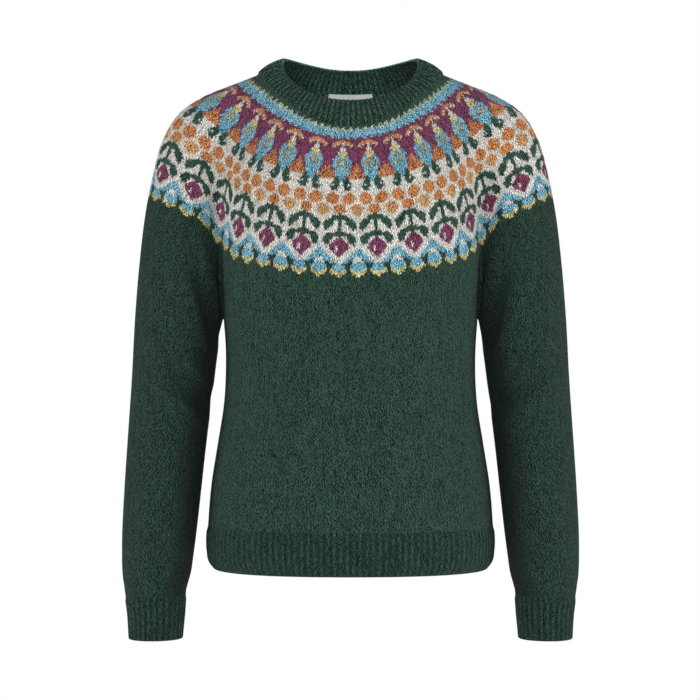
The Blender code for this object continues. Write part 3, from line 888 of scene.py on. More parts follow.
class Shader:
    """A material's nodes, made one by one."""

    def __init__(self, name: str) -> None:
        """Makes a material that holds only a Principled BSDF and its output.

        Args:
            name: The material's name.
        """
        self.material = bpy.data.materials.new(name)
        self.material.use_nodes = True
        self.tree = self.material.node_tree
        self.surface = self.tree.nodes["Principled BSDF"]

    def node(self, kind: str, settings: dict[str, Any], inputs: Any, output: Any = 0) -> Wire:
        """Makes one node.

        Args:
            kind: Its type.
            settings: Its settings, set before its sockets.
            inputs: Values or wires by socket name or number, or in order.
            output: Name or number of the socket to return.

        Returns:
            The output, as a wire.
        """
        made = self.tree.nodes.new(kind)
        for name, value in settings.items():
            setattr(made, name, value)
        pairs = inputs.items() if isinstance(inputs, dict) else enumerate(inputs)
        for key, value in pairs:
            self.feed(made.inputs[key], value)
        return Wire(self, made.outputs[output])

    def feed(self, socket: bpy.types.NodeSocket, value: Any) -> None:
        """Links a wire to a socket, or sets the socket's own value.

        Args:
            socket: The socket.
            value: The wire or the value.
        """
        if isinstance(value, Wire):
            self.tree.links.new(value.socket, socket)
        else:
            socket.default_value = value

    def vector(self, x: Any, y: Any, z: Any = 0.0) -> Wire:
        """A vector from three values."""
        return self.node("ShaderNodeCombineXYZ", {}, [x, y, z])

    def mixed(self, share: Any, first: Any, second: Any) -> Wire:
        """first where share is 0 and second where it is 1, as colours."""
        inputs = {0: share, 6: first, 7: second}
        return self.node("ShaderNodeMix", {"data_type": "RGBA"}, inputs, output=2)

    def scaled(self, colour: Any, value: Any) -> Wire:
        """A colour times a value."""
        first = colour if isinstance(colour, Wire) else colour[:3]
        return self.node("ShaderNodeVectorMath", {"operation": "SCALE"}, {0: first, 3: value})

    def joined(self, operation: str, first: Any, second: Any) -> Wire:
        """Two colours through one Vector Math node, channel by channel."""
        values = [item if isinstance(item, Wire) else item[:3] for item in (first, second)]
        return self.node("ShaderNodeVectorMath", {"operation": operation}, values)

    def noise(self, where: Any, scale: float, detail: float = 2.0) -> Wire:
        """Soft noise of mean 0.5 at a place."""
        inputs = {"Vector": where, "Scale": scale, "Detail": detail, "Roughness": 0.55}
        return self.node("ShaderNodeTexNoise", {"noise_dimensions": "3D"}, inputs, output=0)

    def speck(self, *where: Any) -> Wire:
        """One random number for each place, given as three values."""
        return self.node("ShaderNodeTexWhiteNoise", {"noise_dimensions": "3D"},
                         {"Vector": self.vector(*where)})

    def place(self) -> Wire:
        """The place on the object, in metres."""
        return self.node("ShaderNodeTexCoord", {}, {}, output="Object")

    def part(self, vector: Wire, axis: int) -> Wire:
        """One of a vector's three values."""
        return self.node("ShaderNodeSeparateXYZ", {}, [vector], output=axis)

    def carried(self, name: str, output: int = 0) -> Wire:
        """What the mesh carries under a name: as a colour, or as a number with output 2."""
        return self.node("ShaderNodeAttribute", {"attribute_name": name}, {}, output=output)

    def dress(self, colour: Any, roughness: Any, height: Any, strength: float, depth: float,
              **same_all_over: Any) -> bpy.types.Material:
        """Feeds the surface and returns the finished material.

        Args:
            colour: Its colour.
            roughness: Its roughness.
            height: The height that the bump follows.
            strength: The bump's strength.
            depth: The bump's depth in metres.
            same_all_over: Values of further sockets, by name with _ for a space.

        Returns:
            The material.
        """
        bump = self.node("ShaderNodeBump", {}, {"Strength": strength, "Distance": depth,
                                                "Height": height})
        fed = {"Base Color": colour, "Roughness": roughness, "Normal": bump}
        for name, value in {**fed, **same_all_over}.items():
            self.feed(self.surface.inputs[name.replace("_", " ")], value)
        return self.material


def linear(red: int, green: int, blue: int) -> tuple[float, float, float, float]:
    """A colour as the eye names it, 0 to 255, as the light it sends back.

    Args:
        red: Its red.
        green: Its green.
        blue: Its blue.

    Returns:
        Its red, green and blue, 0 to 1, and 1 for the alpha.
    """
    shares = np.array((red, green, blue)) / 255
    low, high = shares / 12.92, ((shares + 0.055) / 1.055) ** 2.4
    return (*(float(v) for v in np.where(shares <= 0.04045, low, high)), 1.0)


class Yarn(Enum):
    """The wools, by the letter that the charts use."""

    GREEN = ("g", linear(35, 69, 57))
    DEEP_GREEN = ("d", linear(30, 59, 48))
    BLUE = ("b", linear(109, 172, 195))
    YELLOW = ("y", linear(206, 192, 122))
    MAROON = ("m", linear(111, 47, 81))
    RUST = ("r", linear(178, 114, 60))
    ORANGE = ("o", linear(199, 128, 66))
    AMBER = ("a", linear(204, 152, 92))
    OLIVE = ("k", linear(150, 132, 74))
    CREAM = ("c", linear(228, 226, 217))

    @property
    def letter(self) -> str:
        """Its letter."""
        return self.value[0]

    @property
    def colour(self) -> tuple[float, float, float, float]:
        """Its colour."""
        return self.value[1]


class Side(Enum):
    """Which face of the knitting shows."""

    RIGHT = "right"
    WRONG = "wrong"


class Ribs(Enum):
    """Where the hollows of a finish's ribs lie, in parts of a two-stitch rib; None for none."""

    NONE = None
    OUTSIDE = 0.25
    INSIDE = 0.75


class Draw(Enum):
    """The third number of each kind of random draw, so that no two kinds agree.

    A right leg's draw lies LEG from its left leg's.
    """

    STITCH = 3.7
    LEG = 5.0
    STRAY = 9.0
    TUFT = 1.9
    START = 8.1
    RUN = 2.3


@dataclass(frozen=True)
class KnitFinish:
    """Knitted wool, read from the stitch coordinates: u counts stitches and v counts rows.

    On the right side each stitch is a V: with x from 0 in its middle to 1 at its edges, its
    strand lies where v + lean * x has one whole part. On the wrong side each is a low arc.
    Fibres stray over the edge of a colour, so near its own edges a leg may take the next one's.
    The tones from stitch_tone to cloud are how far each part lightens or darkens the colour.
    """

    name: str
    side: Side
    yarn: Yarn | None = None
    ribs: Ribs = Ribs.NONE
    # Brightness of the colour with painted light and shade: insides lighter, sleeves darker than
    # the body.
    tone_and_painted_light: float = 1.0
    lean: float = 0.95
    lean_round: float = 0.6
    edge_gap: float = 0.80
    middle_gap: float = 0.45
    gap_power: float = 5.0
    arc: float = 0.4
    arc_round: float = 0.5
    arc_gap: float = 0.35
    least_arch: float = 0.02
    fibre_sizes: Three = (1.3, 5.1, 7.0)
    fibre_scale: float = 1.6
    wander: float = 0.9
    wander_scale: float = 420.0
    pass_over: float = 1.3
    stray: float = 1.02
    stray_outwards: float = 0.6
    strand: float = 0.0007
    fibre_bump: float = 0.30
    fleck_bump: float = 0.25
    # Painted shade in the gaps between strands.
    painted_gap_shade: float = 0.22
    # Painted shade in the rib hollows and painted light on the ridges.
    painted_rib_shade: float = 0.42
    rib_level: float = 0.35
    stitch_tone: float = 0.75
    streak: float = 1.0
    run_rows: float = 0.13
    leg_tone: float = 1.6
    fleck: float = 1.7
    fleck_scale: float = 520.0
    grain: float = 6.4
    tufts_across: float = 2.0
    tufts_down: float = 1.7
    fibre_tone: float = 0.5
    cloud: float = 0.50
    cloud_scale: float = 70.0
    tone_limits: tuple[float, float] = (-0.92, 3.0)
    bright_calm: float = 1.15
    least_steady: float = 0.27
    # Part of each random tone change is grey: random heather tone, with painted fibre sheen in
    # the greyer light flecks.
    greyness: float = 0.3
    tint: float = 0.30
    tint_scale: float = 330.0
    least_light: float = 0.002
    # Painted shade on the sleeves' side that faces the body.
    painted_inner_shade: float = 0.0
    # Painted shade on the neck rib's inside, darker towards its sides.
    painted_side_shade: float = 0.0
    side_from: float = 0.45
    side_rise: float = 22.0
    roughness: float = 0.80
    fibre_roughness: float = 0.25
    specular: float = 0.15
    sheen: float = 0.06
    sheen_roughness: float = 0.5
    sheen_tint: tuple[float, ...] = (0.75, 0.85, 0.80, 1.0)

    def make(self) -> bpy.types.Material:
        """Makes the material.

        Returns:
            The material.
        """
        shader = Shader(self.name)
        place = shader.place()
        uv = shader.node("ShaderNodeUVMap", {"uv_map": "stitches"}, {})
        u, v = shader.part(uv, 0), shader.part(uv, 1)
        across = u.fraction() - 0.5
        from_middle = (across.size() * 2).clamped()
        wander = self.wander * (shader.noise(place, self.wander_scale, 1.0) - 0.5)
        if self.side is Side.RIGHT:
            down, power = v + self.lean * from_middle + wander, self.lean_round
            leg = 1 - self.edge_gap * from_middle ** self.gap_power
            leg = leg - self.middle_gap * (1 - from_middle) ** self.gap_power
        else:
            down, power = v + self.arc * from_middle * from_middle, self.arc_round
            leg = 1 - self.arc_gap * from_middle
        height = down.fraction().arch().clamped(self.least_arch) ** power * leg
        stitch, row, right = u.floor(), down.floor(), (across > 0.0) * Draw.LEG.value
        wide, apart, tall = self.fibre_sizes
        along = shader.vector(from_middle * wide + apart * stitch, down * tall, stitch)
        fibre = shader.noise(along, self.fibre_scale, 3.0)
        fleck = shader.noise(place, self.fleck_scale, 2.0) - 0.5
        colour, steady = self.dyed(shader, u, v, from_middle, wander)

        start = shader.speck(stitch, 0.0, Draw.START.value)
        run = (v * self.run_rows + start).floor()
        tone = self.stitch_tone * (shader.speck(stitch, row, Draw.STITCH.value) - 0.5)
        tone = tone + self.streak * (shader.speck(stitch, run, Draw.RUN.value) - 0.5)
        tone = tone + self.leg_tone * (shader.speck(stitch, row, right) - 0.5)
        tone = tone + self.fleck * fleck + self.grain * self.tufted(shader, u, down)
        tone = tone + self.fibre_tone * (fibre - 0.5)
        cloud = shader.noise(place, self.cloud_scale, 3.0) - 0.5
        tone = (tone * steady + self.cloud * cloud).clamped(*self.tone_limits)

        warm = self.tint * (shader.noise(place, self.tint_scale, 1.0) - 0.5)
        heathered = shader.joined("MULTIPLY", colour, shader.vector(1 + warm, 1.0, 1 - warm))
        grey = shader.node("ShaderNodeRGBToBW", {}, [colour])
        change = shader.scaled(shader.mixed(self.greyness, heathered, grey), tone)
        wool = shader.joined("ADD", heathered, change)
        wool = shader.joined("MAXIMUM", wool, (self.least_light,) * 3)
        return shader.dress(shader.scaled(wool, self.depth(shader, place, u, height)),
                            (self.roughness + self.fibre_roughness * fibre).clamped(),
                            height + self.fibre_bump * fibre + self.fleck_bump * fleck,
                            1.0, self.strand, Specular_IOR_Level=self.specular,
                            Sheen_Weight=self.sheen, Sheen_Roughness=self.sheen_roughness,
                            Sheen_Tint=self.sheen_tint)

    def dyed(self, shader: Shader, u: Wire, v: Wire, from_middle: Wire, wander: Wire
             ) -> tuple[Any, Any]:
        """The colour, and how much its tones vary: less in the brightest wools.

        Args:
            shader: The material's nodes.
            u: Stitches.
            v: Rows.
            from_middle: 0 in the middle of a stitch and 1 at its edges.
            wander: How far the strand wanders, in rows.

        Returns:
            The colour and the share of the tones.
        """
        if self.yarn:
            return self.yarn.colour, 1.0
        own, below, before, after = (shader.carried(name) for name in NEIGHBOURS)
        right = (u.fraction() - 0.5) > 0.0
        loose = shader.speck(u.floor(), v.floor(), right * Draw.LEG.value + Draw.STRAY.value)
        colour = own
        if self.side is Side.RIGHT:
            passed = (v.fraction() + self.lean * from_middle + wander + loose) > self.pass_over
            colour = shader.mixed(passed, own, below)
        strays = (loose + self.stray_outwards * from_middle) > self.stray
        colour = shader.mixed(strays, colour, shader.mixed(right, before, after))
        brightest = shader.node("ShaderNodeSeparateColor", {"mode": "HSV"}, [colour], output=2)
        steady = self.bright_calm - self.bright_calm * brightest
        return colour, steady.clamped(self.least_steady)

    def tufted(self, shader: Shader, u: Wire, down: Wire) -> Wire:
        """A random number for each tuft, less the mean of its four neighbours'.

        Args:
            shader: The material's nodes.
            u: Stitches.
            down: Rows along the strand.

        Returns:
            The number, of mean 0.
        """
        across, down = (u * self.tufts_across).floor(), (down * self.tufts_down).floor()
        own, *around = (shader.speck(across + right, down + under, Draw.TUFT.value)
                        for right, under in ((0, 0), (1, 0), (-1, 0), (0, 1), (0, -1)))
        return own - 0.25 * (around[0] + around[1] + around[2] + around[3])

    def depth(self, shader: Shader, place: Wire, u: Wire, height: Wire) -> Wire:
        """How light the wool is, by its height in the stitch, the rib and the garment.

        Args:
            shader: The material's nodes.
            place: The place on the object.
            u: Stitches.
            height: The height in the stitch.

        Returns:
            What the colour is multiplied by.
        """
        # Painted shade in the gaps between strands, by the height in the stitch.
        depth = self.painted_gap_shade + (1 - self.painted_gap_shade) * height
        # Painted shade in the rib hollows and painted light on the ridges.
        if self.ribs is not Ribs.NONE:
            hollow = (u * 0.5 + self.ribs.value).fraction().arch()
            depth = depth * (1 + self.painted_rib_shade * (self.rib_level - hollow * hollow))
        # Painted shade on the sleeves' side that faces the body.
        if self.painted_inner_shade:
            depth = depth * (1 - self.painted_inner_shade * shader.carried("painted_shade_mask", 2))
        # Painted shade on the neck rib's inside, darker towards its sides.
        if self.painted_side_shade:
            sideways = (shader.part(place, 0).size() * self.side_rise - self.side_from).clamped()
            depth = depth * (1 - self.painted_side_shade * sideways)
        # The gain: each piece's brightness with its painted light and shade.
        return depth * self.tone_and_painted_light


@dataclass(frozen=True)
class LabelFinish:
    """Blank satin ribbon: fine slanting floats, thin ribs along its length and a soft gloss."""

    name: str = "blank_satin_ribbon"
    white: tuple[int, int, int] = (250, 251, 253)
    float_pitch: float = 0.00035
    rib_pitch: float = 0.00055
    # Painted shade in the hollows between floats and painted light on their crowns.
    shaded_hollow_tone: float = 0.93
    float_painted_light: float = 0.07
    cloud: float = 0.05
    cloud_scale: float = 300.0
    roughness: float = 0.42
    rib_roughness: float = 0.15
    float_height: float = 0.6
    rib_height: float = 0.4
    relief: float = 0.0001
    relief_strength: float = 0.6
    sheen: float = 0.2

    def make(self) -> bpy.types.Material:
        """Makes the material.

        Returns:
            The material.
        """
        shader = Shader(self.name)
        place = shader.place()
        x, z = shader.part(place, 0), shader.part(place, 2)
        floats = (x * (1 / self.float_pitch) + z * (0.5 / self.float_pitch)).fraction().arch()
        ribs = (z * (1 / self.rib_pitch)).fraction().arch()
        cloud = shader.noise(place, self.cloud_scale) - 0.5
        # Painted shade in the hollows between floats and painted light on their crowns.
        tone = self.shaded_hollow_tone + self.float_painted_light * floats + self.cloud * cloud
        return shader.dress(shader.scaled(linear(*self.white), tone),
                            self.roughness + self.rib_roughness * ribs,
                            floats * self.float_height + ribs * self.rib_height,
                            self.relief_strength, self.relief, Sheen_Weight=self.sheen)


@dataclass(frozen=True)
class Rib:
    """What differs between the ribs: how dark the hollows are, each part's gain, the wool."""

    # How dark the painted shade in the rib hollows is.
    shade: float
    outside: float
    inside: float
    # Gain of the free edge; the neck rib's is a painted highlight.
    edge: float
    # Painted shade on the inside, darker towards its sides.
    painted_side_shade: float = 0.0
    leg_tone: float = 0.6
    grain: float = 3.0
    streak: float = 0.3
    cloud: float = 0.25

    def make(self, name: str) -> Finishes:
        """Its outside, its inside, where the ribs lie half a rib on, and its free edge.

        Args:
            name: The start of the materials' names.

        Returns:
            The three materials.
        """
        # The inside takes the painted shade towards its sides.
        kinds = (("outside", Ribs.OUTSIDE, self.outside, 0.0),
                 ("inside", Ribs.INSIDE, self.inside, self.painted_side_shade),
                 # The free edge, with its own gain: on the neck rib a painted highlight.
                 ("edge", Ribs.OUTSIDE, self.edge, 0.0))
        return tuple(KnitFinish(f"{name}_{part}", Side.RIGHT, Yarn.GREEN, ribs, tone_and_painted_light,
                                painted_rib_shade=self.shade, leg_tone=self.leg_tone, grain=self.grain,
                                streak=self.streak, cloud=self.cloud, painted_side_shade=shade).make()
                     for part, ribs, tone_and_painted_light, shade in kinds)


def plain(name: str, yarn: Yarn | None, outer: float, inner: float, painted_inner_shade: float = 0.0
          ) -> Finishes:
    """Both faces of plain knitting, each with its gain.

    Args:
        name: The start of the materials' names.
        yarn: The wool, or None where each face carries its own.
        outer: The outside's gain.
        inner: The inside's.
        inner_shade: How much darker the hidden parts are.

    Returns:
        The two materials.
    """
    return tuple(KnitFinish(f"{name}_{side.value}_side", side, yarn, tone_and_painted_light=tone_and_painted_light,
                            painted_inner_shade=painted_inner_shade).make()
                 for side, tone_and_painted_light in ((Side.RIGHT, outer), (Side.WRONG, inner)))


class Wardrobe:
    """All finishes, made once: the first of each shows outside and the second inside."""

    def __init__(self) -> None:
        """Makes the materials."""
        # The gains carry painted light and shade: each inside is lit up, the sleeves' outside is
        # darker than the body's, and the neck rib's free edge at 3.0 is a painted highlight.
        self.body = plain("body_wool", Yarn.GREEN, outer=0.83, inner=1.5)
        self.sleeve = plain("sleeve_wool", Yarn.GREEN, outer=0.635, inner=1.3, painted_inner_shade=0.65)
        self.yoke = plain("fair_isle", None, outer=1.08, inner=1.5)
        self.neck_rib = Rib(shade=0.72, outside=1.03, inside=1.98, edge=3.0, painted_side_shade=0.65,
                            leg_tone=1.2, grain=5.6, streak=0.5, cloud=0.5).make("neck_rib")
        self.hem_rib = Rib(shade=0.58, outside=0.86, inside=1.4, edge=0.86).make("hem_rib")
        self.cuff_rib = Rib(shade=0.64, outside=0.76, inside=1.3, edge=0.82,
                            grain=3.4).make("cuff_rib")
        self.label = LabelFinish().make()


# ---------------------------------------------------------------- yoke


class Axis(Enum):
    """Where a charted row is mirrored."""

    STITCH = "on the middle of its end stitches"
    EDGE = "on their outer edges"
    NONE = "nowhere: the row is repeated as it is"


@dataclass(frozen=True)
class Band:
    """Rows of the yoke that share one number of stitches in each repeat.

    Each row is charted from the middle of the gap between two flowers (first letter) to the
    flower's middle (last letter), and mirrored. An e is cream on the charted side alone.
    """

    stitches: int
    axis: Axis
    chart: str

    @property
    def rows(self) -> list[str]:
        """The charted rows."""
        return self.chart.split()

    @property
    def offset(self) -> float:
        """How far the first stitch starts before the middle of the gap, in stitches."""
        return 0.5 if self.axis is Axis.STITCH else 0.0

    def letters(self) -> list[list[str]]:
        """The whole repeat, row by row.

        Returns:
            The yarn's letter of each stitch, from the middle of the gap.
        """
        whole = []
        for row in self.rows:
            back = {Axis.STITCH: row[-2:0:-1], Axis.EDGE: row[::-1],
                    Axis.NONE: row * self.stitches}[self.axis].replace("e", "m")
            whole.append(list((row.replace("e", "c") + back)[:self.stitches]))
        return whole


NECK_BAND = Band(9, Axis.NONE, """
    ggg
    gyg
    byg
    byb
    byb
    bbb
    bbb
    bbb
    bbb
    bmb
    bmm
""")

LANTERN_BAND = Band(14, Axis.STITCH, """
    mmmmmmmm
    mmmmmmao
    mmmmaaoo
    mmmaaoac
    mmaacamc
    mmcammmc
    mmmammmc
    mmmmmmcc
    mmmmmmcc
    mmmmmmyc
    mmmmmcyy
    mmmmmyyy
    mmmmmbyy
    mmmmbbyy
    mmmmbbbk
    mmmbbbkk
    mmmbbkkb
    mmmbbkbb
    rmmbbkbb
    rmmbbkkb
    rrmbbbkk
    rrmmbbbb
    rrrmbbbb
    rrrmbbbb
    rrrrbbbb
    rrrrrbbb
    rrrrrgbb
    rrrrggbb
""")

DOT_BAND = Band(18, Axis.EDGE, """
    ccccggggb
    ccccggggb
    cccgggggc
    cccgcgggc
    ccggggggc
    cccggggcc
    ccccgggcc
    ccccccccc
    cccoooccc
    ccooooocc
    coooooooc
    coooooooc
    coooooooc
    ccooooooc
    cccoooocc
    aacccccoo
    aaacccooo
    aaaaccooo
    aaacccooo
    aaacccooo
    aaccccccg
""")

FLOWER_BAND = Band(20, Axis.EDGE, """
    acccccgggg
    cccccggggg
    cccggggggg
    ccgggggccg
    cggggggccg
    cgggggcccg
    cggggccccg
    cgggcccccg
    ccgccccccg
    cccccccggg
    cccggggggg
    ccgggggggg
    cgggggcccm
    cgggggccmm
    cggggccmmm
    ccgggcmmmm
    ccgccmmmmm
    cccccmmmem
    bccccmmmem
    bbccccmmem
    bbbccccmmm
    bbbbccccmm
    bbbbbccccm
    ccbbbbcccc
    ccdbbbbccc
    bccddbbbcc
    bbbdddddbb
    bbbbdddbbb
    bbbbdddbbb
    bbbyddybbb
    byyyddyyyb
    yyyddddyyy
    yddddddddy
""")


@dataclass
class Yoke:
    """The patterned yoke: one face for each stitch, with decreases between its bands.

    Each face's stitch coordinates stop stitch_edge short of the whole numbers at its edges.
    """

    seams: Seams
    finishes: Finishes
    repeats: int = 27
    finer: int = 6
    grid_rows: int = 72
    settle_rounds: int = 12
    plain_rows: int = 5
    plain_front: float = 0.0015
    plain_side: float = 0.0100
    plain_back: float = 0.0180
    gap_turn: float = 0.20
    stitch_edge: float = 0.002
    bands: tuple[Band, ...] = (NECK_BAND, LANTERN_BAND, DOT_BAND, FLOWER_BAND)

    def __post_init__(self) -> None:
        """Works out the surface that the rings are read from."""
        self.crease = self.seams.armhole(self.finer * self.seams.armhole_columns)
        self.edge = self.seams.yoke_edge(self.crease[0], self.crease[-1], self.finer)
        first = self.finer * self.seams.front_columns
        self.arm_columns = first, first + self.finer * self.seams.sleeve_columns
        half, level = self.seams.yoke_half(self.edge, self.finer, self.grid_rows,
                                           self.settle_rounds)
        self.grid = mirrored(half)
        self.level = np.concatenate([level, level[:, -2:0:-1]], axis=1)

    def plain_depth(self, turn: Array) -> Array:
        """Depth of the plain strip under the neckband, by turns from the centre front.

        Args:
            turn: The turns.

        Returns:
            The depths, in metres.
        """
        round_back = (1 - np.cos(2 * np.pi * turn)) / 2
        stations = np.array((0.0, 0.5, 1.0))
        return curve(round_back, stations, np.array((self.plain_front, self.plain_side,
                                                     self.plain_back)))

    def read(self, turn: Array, share: Array) -> tuple[Array, Array]:
        """Points of the surface, and their distance from the cloth, between the grid's own.

        Args:
            turn: Turns from the centre front (n,).
            share: Shares of the way down (n,).

        Returns:
            The points (n, 3) and their distances (n,).
        """
        column = (turn % 1.0) * self.grid.shape[1]
        row = np.clip(share, 0, 1) * self.grid_rows
        c = np.floor(column).astype(int)
        r = np.minimum(np.floor(row).astype(int), self.grid_rows - 1)
        beside, below = column - c, row - r
        c, c1 = c % self.grid.shape[1], (c + 1) % self.grid.shape[1]
        weights = (((1 - below) * (1 - beside), r, c), ((1 - below) * beside, r, c1),
                   (below * (1 - beside), r + 1, c), (below * beside, r + 1, c1))
        points = sum(w[:, None] * self.grid[i, j] for w, i, j in weights)
        return points, sum(w * self.level[i, j] for w, i, j in weights)

    def ring(self, band: Band, step: int) -> Array:
        """One ring of points.

        Args:
            band: The band whose stitches it parts.
            step: Rows from the neck seam: below plain_rows in the plain strip, else charted.

        Returns:
            Points (stitches * repeats, 3), from the start of the repeats' first gap.
        """
        stitch = np.arange(band.stitches * self.repeats) - band.offset
        turn = (stitch / band.stitches + self.gap_turn) / self.repeats
        column = (turn % 1.0) * self.grid.shape[1]
        length = lengths(self.grid, 0)[-1]
        length = np.interp(column, np.arange(len(length) + 1), np.append(length, length[0]))
        plain = self.plain_depth(turn) / length
        charted = sum(len(band.rows) for band in self.bands)
        if step <= self.plain_rows:
            share = plain * step / self.plain_rows
        else:
            share = plain + (1 - plain) * (step - self.plain_rows) / charted
        points, level = self.read(turn, share)
        if 0 < step < self.plain_rows + charted:
            points = self.seams.cloth.pressed(points, level, rounds=2)
        return points

    def stands_on(self, band: Band, below: Band) -> Array:
        """For each point of a ring, the point of the next ring down that it stands on.

        It is the nearest one, and of two equally near the later.

        Args:
            band: The ring's band.
            below: The band of the ring below.

        Returns:
            The numbers of those points, with the first again at the end, a round on.
        """
        ratio = below.stitches / band.stitches
        one = (np.arange(band.stitches) - band.offset) * ratio + below.offset
        one = np.floor(one + 0.5 + HAIR).astype(int)
        whole = (one + np.arange(self.repeats)[:, None] * below.stitches).ravel()
        return np.append(whole, whole[0] + self.repeats * below.stitches)

    def build(self) -> Mesh:
        """Knits the rings together.

        A face of a row stands on one stitch of the row below, or on two where they are taken
        together. The inside is each ring moved inwards by the wall.

        Returns:
            The mesh, with each face's own colour and its neighbours'.
        """
        charts = [(self.bands[0], ["g"] * self.bands[0].stitches)] * self.plain_rows
        for band in self.bands:
            charts += [(band, letters) for letters in band.letters()]
        owners = [band for band, _ in charts] + [self.bands[-1]]
        rings = [self.ring(band, step) for step, band in enumerate(owners)]
        sizes = np.array([len(ring) for ring in rings])
        starts = np.concatenate([[0], np.cumsum(sizes)])
        outer = np.concatenate(rings)
        way_out = self.seams.cloth.normals(outer)
        points = np.concatenate([outer, outer - WALL * way_out])
        wools = {yarn.letter: yarn.colour for yarn in Yarn}
        corners, stitches = [], []
        dyed: dict[str, list[Array]] = {name: [] for name in NEIGHBOURS}
        for row, (band, letters) in enumerate(charts):
            stands = self.stands_on(band, owners[row + 1])
            left, right = stands[:-1], stands[1:]
            face = np.arange(sizes[row])
            low, size = starts[row + 1], sizes[row + 1]
            middle = np.where(right - left > 1, low + (left + 1) % size, -1)
            corners.append(np.stack([starts[row] + face, low + left % size, middle,
                                     low + right % size,
                                     starts[row] + (face + 1) % sizes[row]], -1))
            u_left, u_right = face + self.stitch_edge, face + 1 - self.stitch_edge
            v_top, v_foot = row + self.stitch_edge, row + 1 - self.stitch_edge
            u = np.stack([u_left, u_left, face + 0.5, u_right, u_right], -1)
            v = np.array((v_top, v_foot, v_foot, v_foot, v_top))
            stitches.append(np.stack([u, np.broadcast_to(v, u.shape)], -1))
            colours = np.array([wools[letter] for letter in letters])
            under = charts[min(row + 1, len(charts) - 1)][1]
            under_colours = np.array([wools[letter] for letter in under])
            dyed["yarn"].append(colours[face % band.stitches])
            dyed["yarn_before"].append(colours[(face - 1) % band.stitches])
            dyed["yarn_after"].append(colours[(face + 1) % band.stitches])
            dyed["yarn_below"].append(under_colours[left % len(under)])
        corners, stitches = np.concatenate(corners), np.concatenate(stitches)
        within = np.where(corners < 0, -1, corners + len(outer))[:, ::-1]
        rims = [self.rim(starts[0], sizes[0], len(outer), False),
                self.rim(starts[len(rings) - 1], sizes[-1], len(outer), True)]
        rim_uv = np.zeros((sum(len(rim) for rim in rims), 5, 2))
        everything = np.concatenate([corners, within, *rims])
        uv = np.concatenate([stitches, stitches[:, ::-1], rim_uv])
        inside = np.zeros(len(everything))
        inside[len(corners):2 * len(corners)] = 1
        rim_colour = np.tile(Yarn.GREEN.colour, (len(rim_uv), 1))
        kept = everything.ravel() >= 0
        return Mesh(points, everything.ravel()[kept], (everything >= 0).sum(1),
                    uv.reshape(-1, 2)[kept], inside,
                    {name: np.concatenate([*rows, *rows, rim_colour])
                     for name, rows in dyed.items()})

    @staticmethod
    def rim(start: int, size: int, depth: int, lower: bool) -> Array:
        """The faces between a ring and its inner one.

        Args:
            start: The ring's first point.
            size: How many points it has.
            depth: What is added for a point of the inner ring.
            lower: Whether it is the lower edge.

        Returns:
            The faces' points (size, 5), -1 where there is none.
        """
        face = np.arange(size)
        here, after = start + face, start + (face + 1) % size
        none = np.full(size, -1)
        quad = (here, here + depth, none, after + depth, after)
        if not lower:
            quad = quad[::-1]
        return np.stack(quad, -1)

    def dress(self) -> bpy.types.Object:
        """Makes the piece.

        Returns:
            The object.
        """
        mesh = self.build()
        piece = mesh.as_piece("yoke_knitted", self.finishes)
        declare(piece, "yoke")
        return piece


# ---------------------------------------------------------------- panels, sleeves and ribs


def declare(piece: bpy.types.Object, node: str) -> None:
    """Says what a piece replaces, its finish, and the sheet that it was cut from.

    Args:
        piece: The piece.
        node: The node that it replaces.
        slot: The name of its finish.
        flat: The sheet's flat width and length in metres.
        held: How it is held.
        rests_on: The nodes that hold it.
        area: The sheet's area in square metres, where it isn't a full rectangle.
    """
    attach(piece, "root")
    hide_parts(node)


def dressed(mesh: Mesh, grid: Array, node: str, knit: str, finishes: Finishes, held: str,
            rests_on: str, wrap: bool) -> bpy.types.Object:
    """Makes a piece of plain wool and says what it is.

    Args:
        mesh: Its mesh.
        grid: The points of its outside, of which the flat size is taken.
        node: What it replaces. Its own name is this and knit.
        knit: The kind of knitting.
        finishes: The outside's material, the inside's and the free edge's.
        held: How it is held.
        rests_on: The node that holds it.
        wrap: Whether the columns close.

    Returns:
        The object.
    """
    piece = mesh.as_piece(f"{node}_{knit}", finishes)
    declare(piece, node)
    return piece


@dataclass
class Panel:
    """Front or back: columns straight down from the yoke and armholes to the hem."""

    yoke: Yoke
    finishes: Finishes
    front: bool
    folds: Folds
    rows: int = 90

    def half(self) -> Array:
        """Its right half, columns from the centre to the side.

        Returns:
            The grid (rows + 1, columns, 3).
        """
        seams, edge, crease = self.yoke.seams, self.yoke.edge, self.yoke.crease
        first, last = self.yoke.arm_columns
        under = len(crease) // 2
        if self.front:
            top = np.concatenate([edge[:first], crease[:under + 1]])
        else:
            top = np.concatenate([edge[:last:-1], crease[:under - 1:-1]])
        angle = seams.cloth.body.angle(top)
        angle[0], angle[-1] = np.pi / 2, 0
        height = top[:, 2] + (seams.hem_top - top[:, 2]) * downwards(self.rows)
        angle = np.broadcast_to(angle, height.shape)
        grid = seams.cloth.pressed(seams.cloth.body.point(angle, height, self.front))
        grid[0] = top
        grid[:, 0, 0] = 0
        return grid

    def build(self) -> tuple[Mesh, Array]:
        """Joins the halves, lays in the folds and gives the wall its thickness.

        Returns:
            The mesh and the outside's grid.
        """
        half = self.half()
        if self.front:
            grid = np.concatenate([(half * MIRROR)[:, :0:-1], half], axis=1)
        else:
            grid = np.concatenate([half[:, ::-1], (half * MIRROR)[:, 1:]], axis=1)
        way_out = self.yoke.seams.cloth.normals(grid)
        way_out[-1] = levelled(way_out[-1])
        grid = self.folds.laid(grid, way_out)
        u = lengths(grid, 1).mean(axis=0) / STITCH_WIDTH
        u = np.broadcast_to(u - u[-1] / 2, grid.shape[:2])
        v = -grid[..., 2] / ROW_HEIGHT
        uv = np.stack([u, v], -1)
        return plain_wall(grid, way_out, (uv[:, :-1], uv[:, 1:]), False), grid

    def dress(self) -> bpy.types.Object:
        """Makes the piece."""
        node = "front" if self.front else "back"
        return dressed(*self.build(), node, "knitted", self.finishes, "hung", "yoke", False)


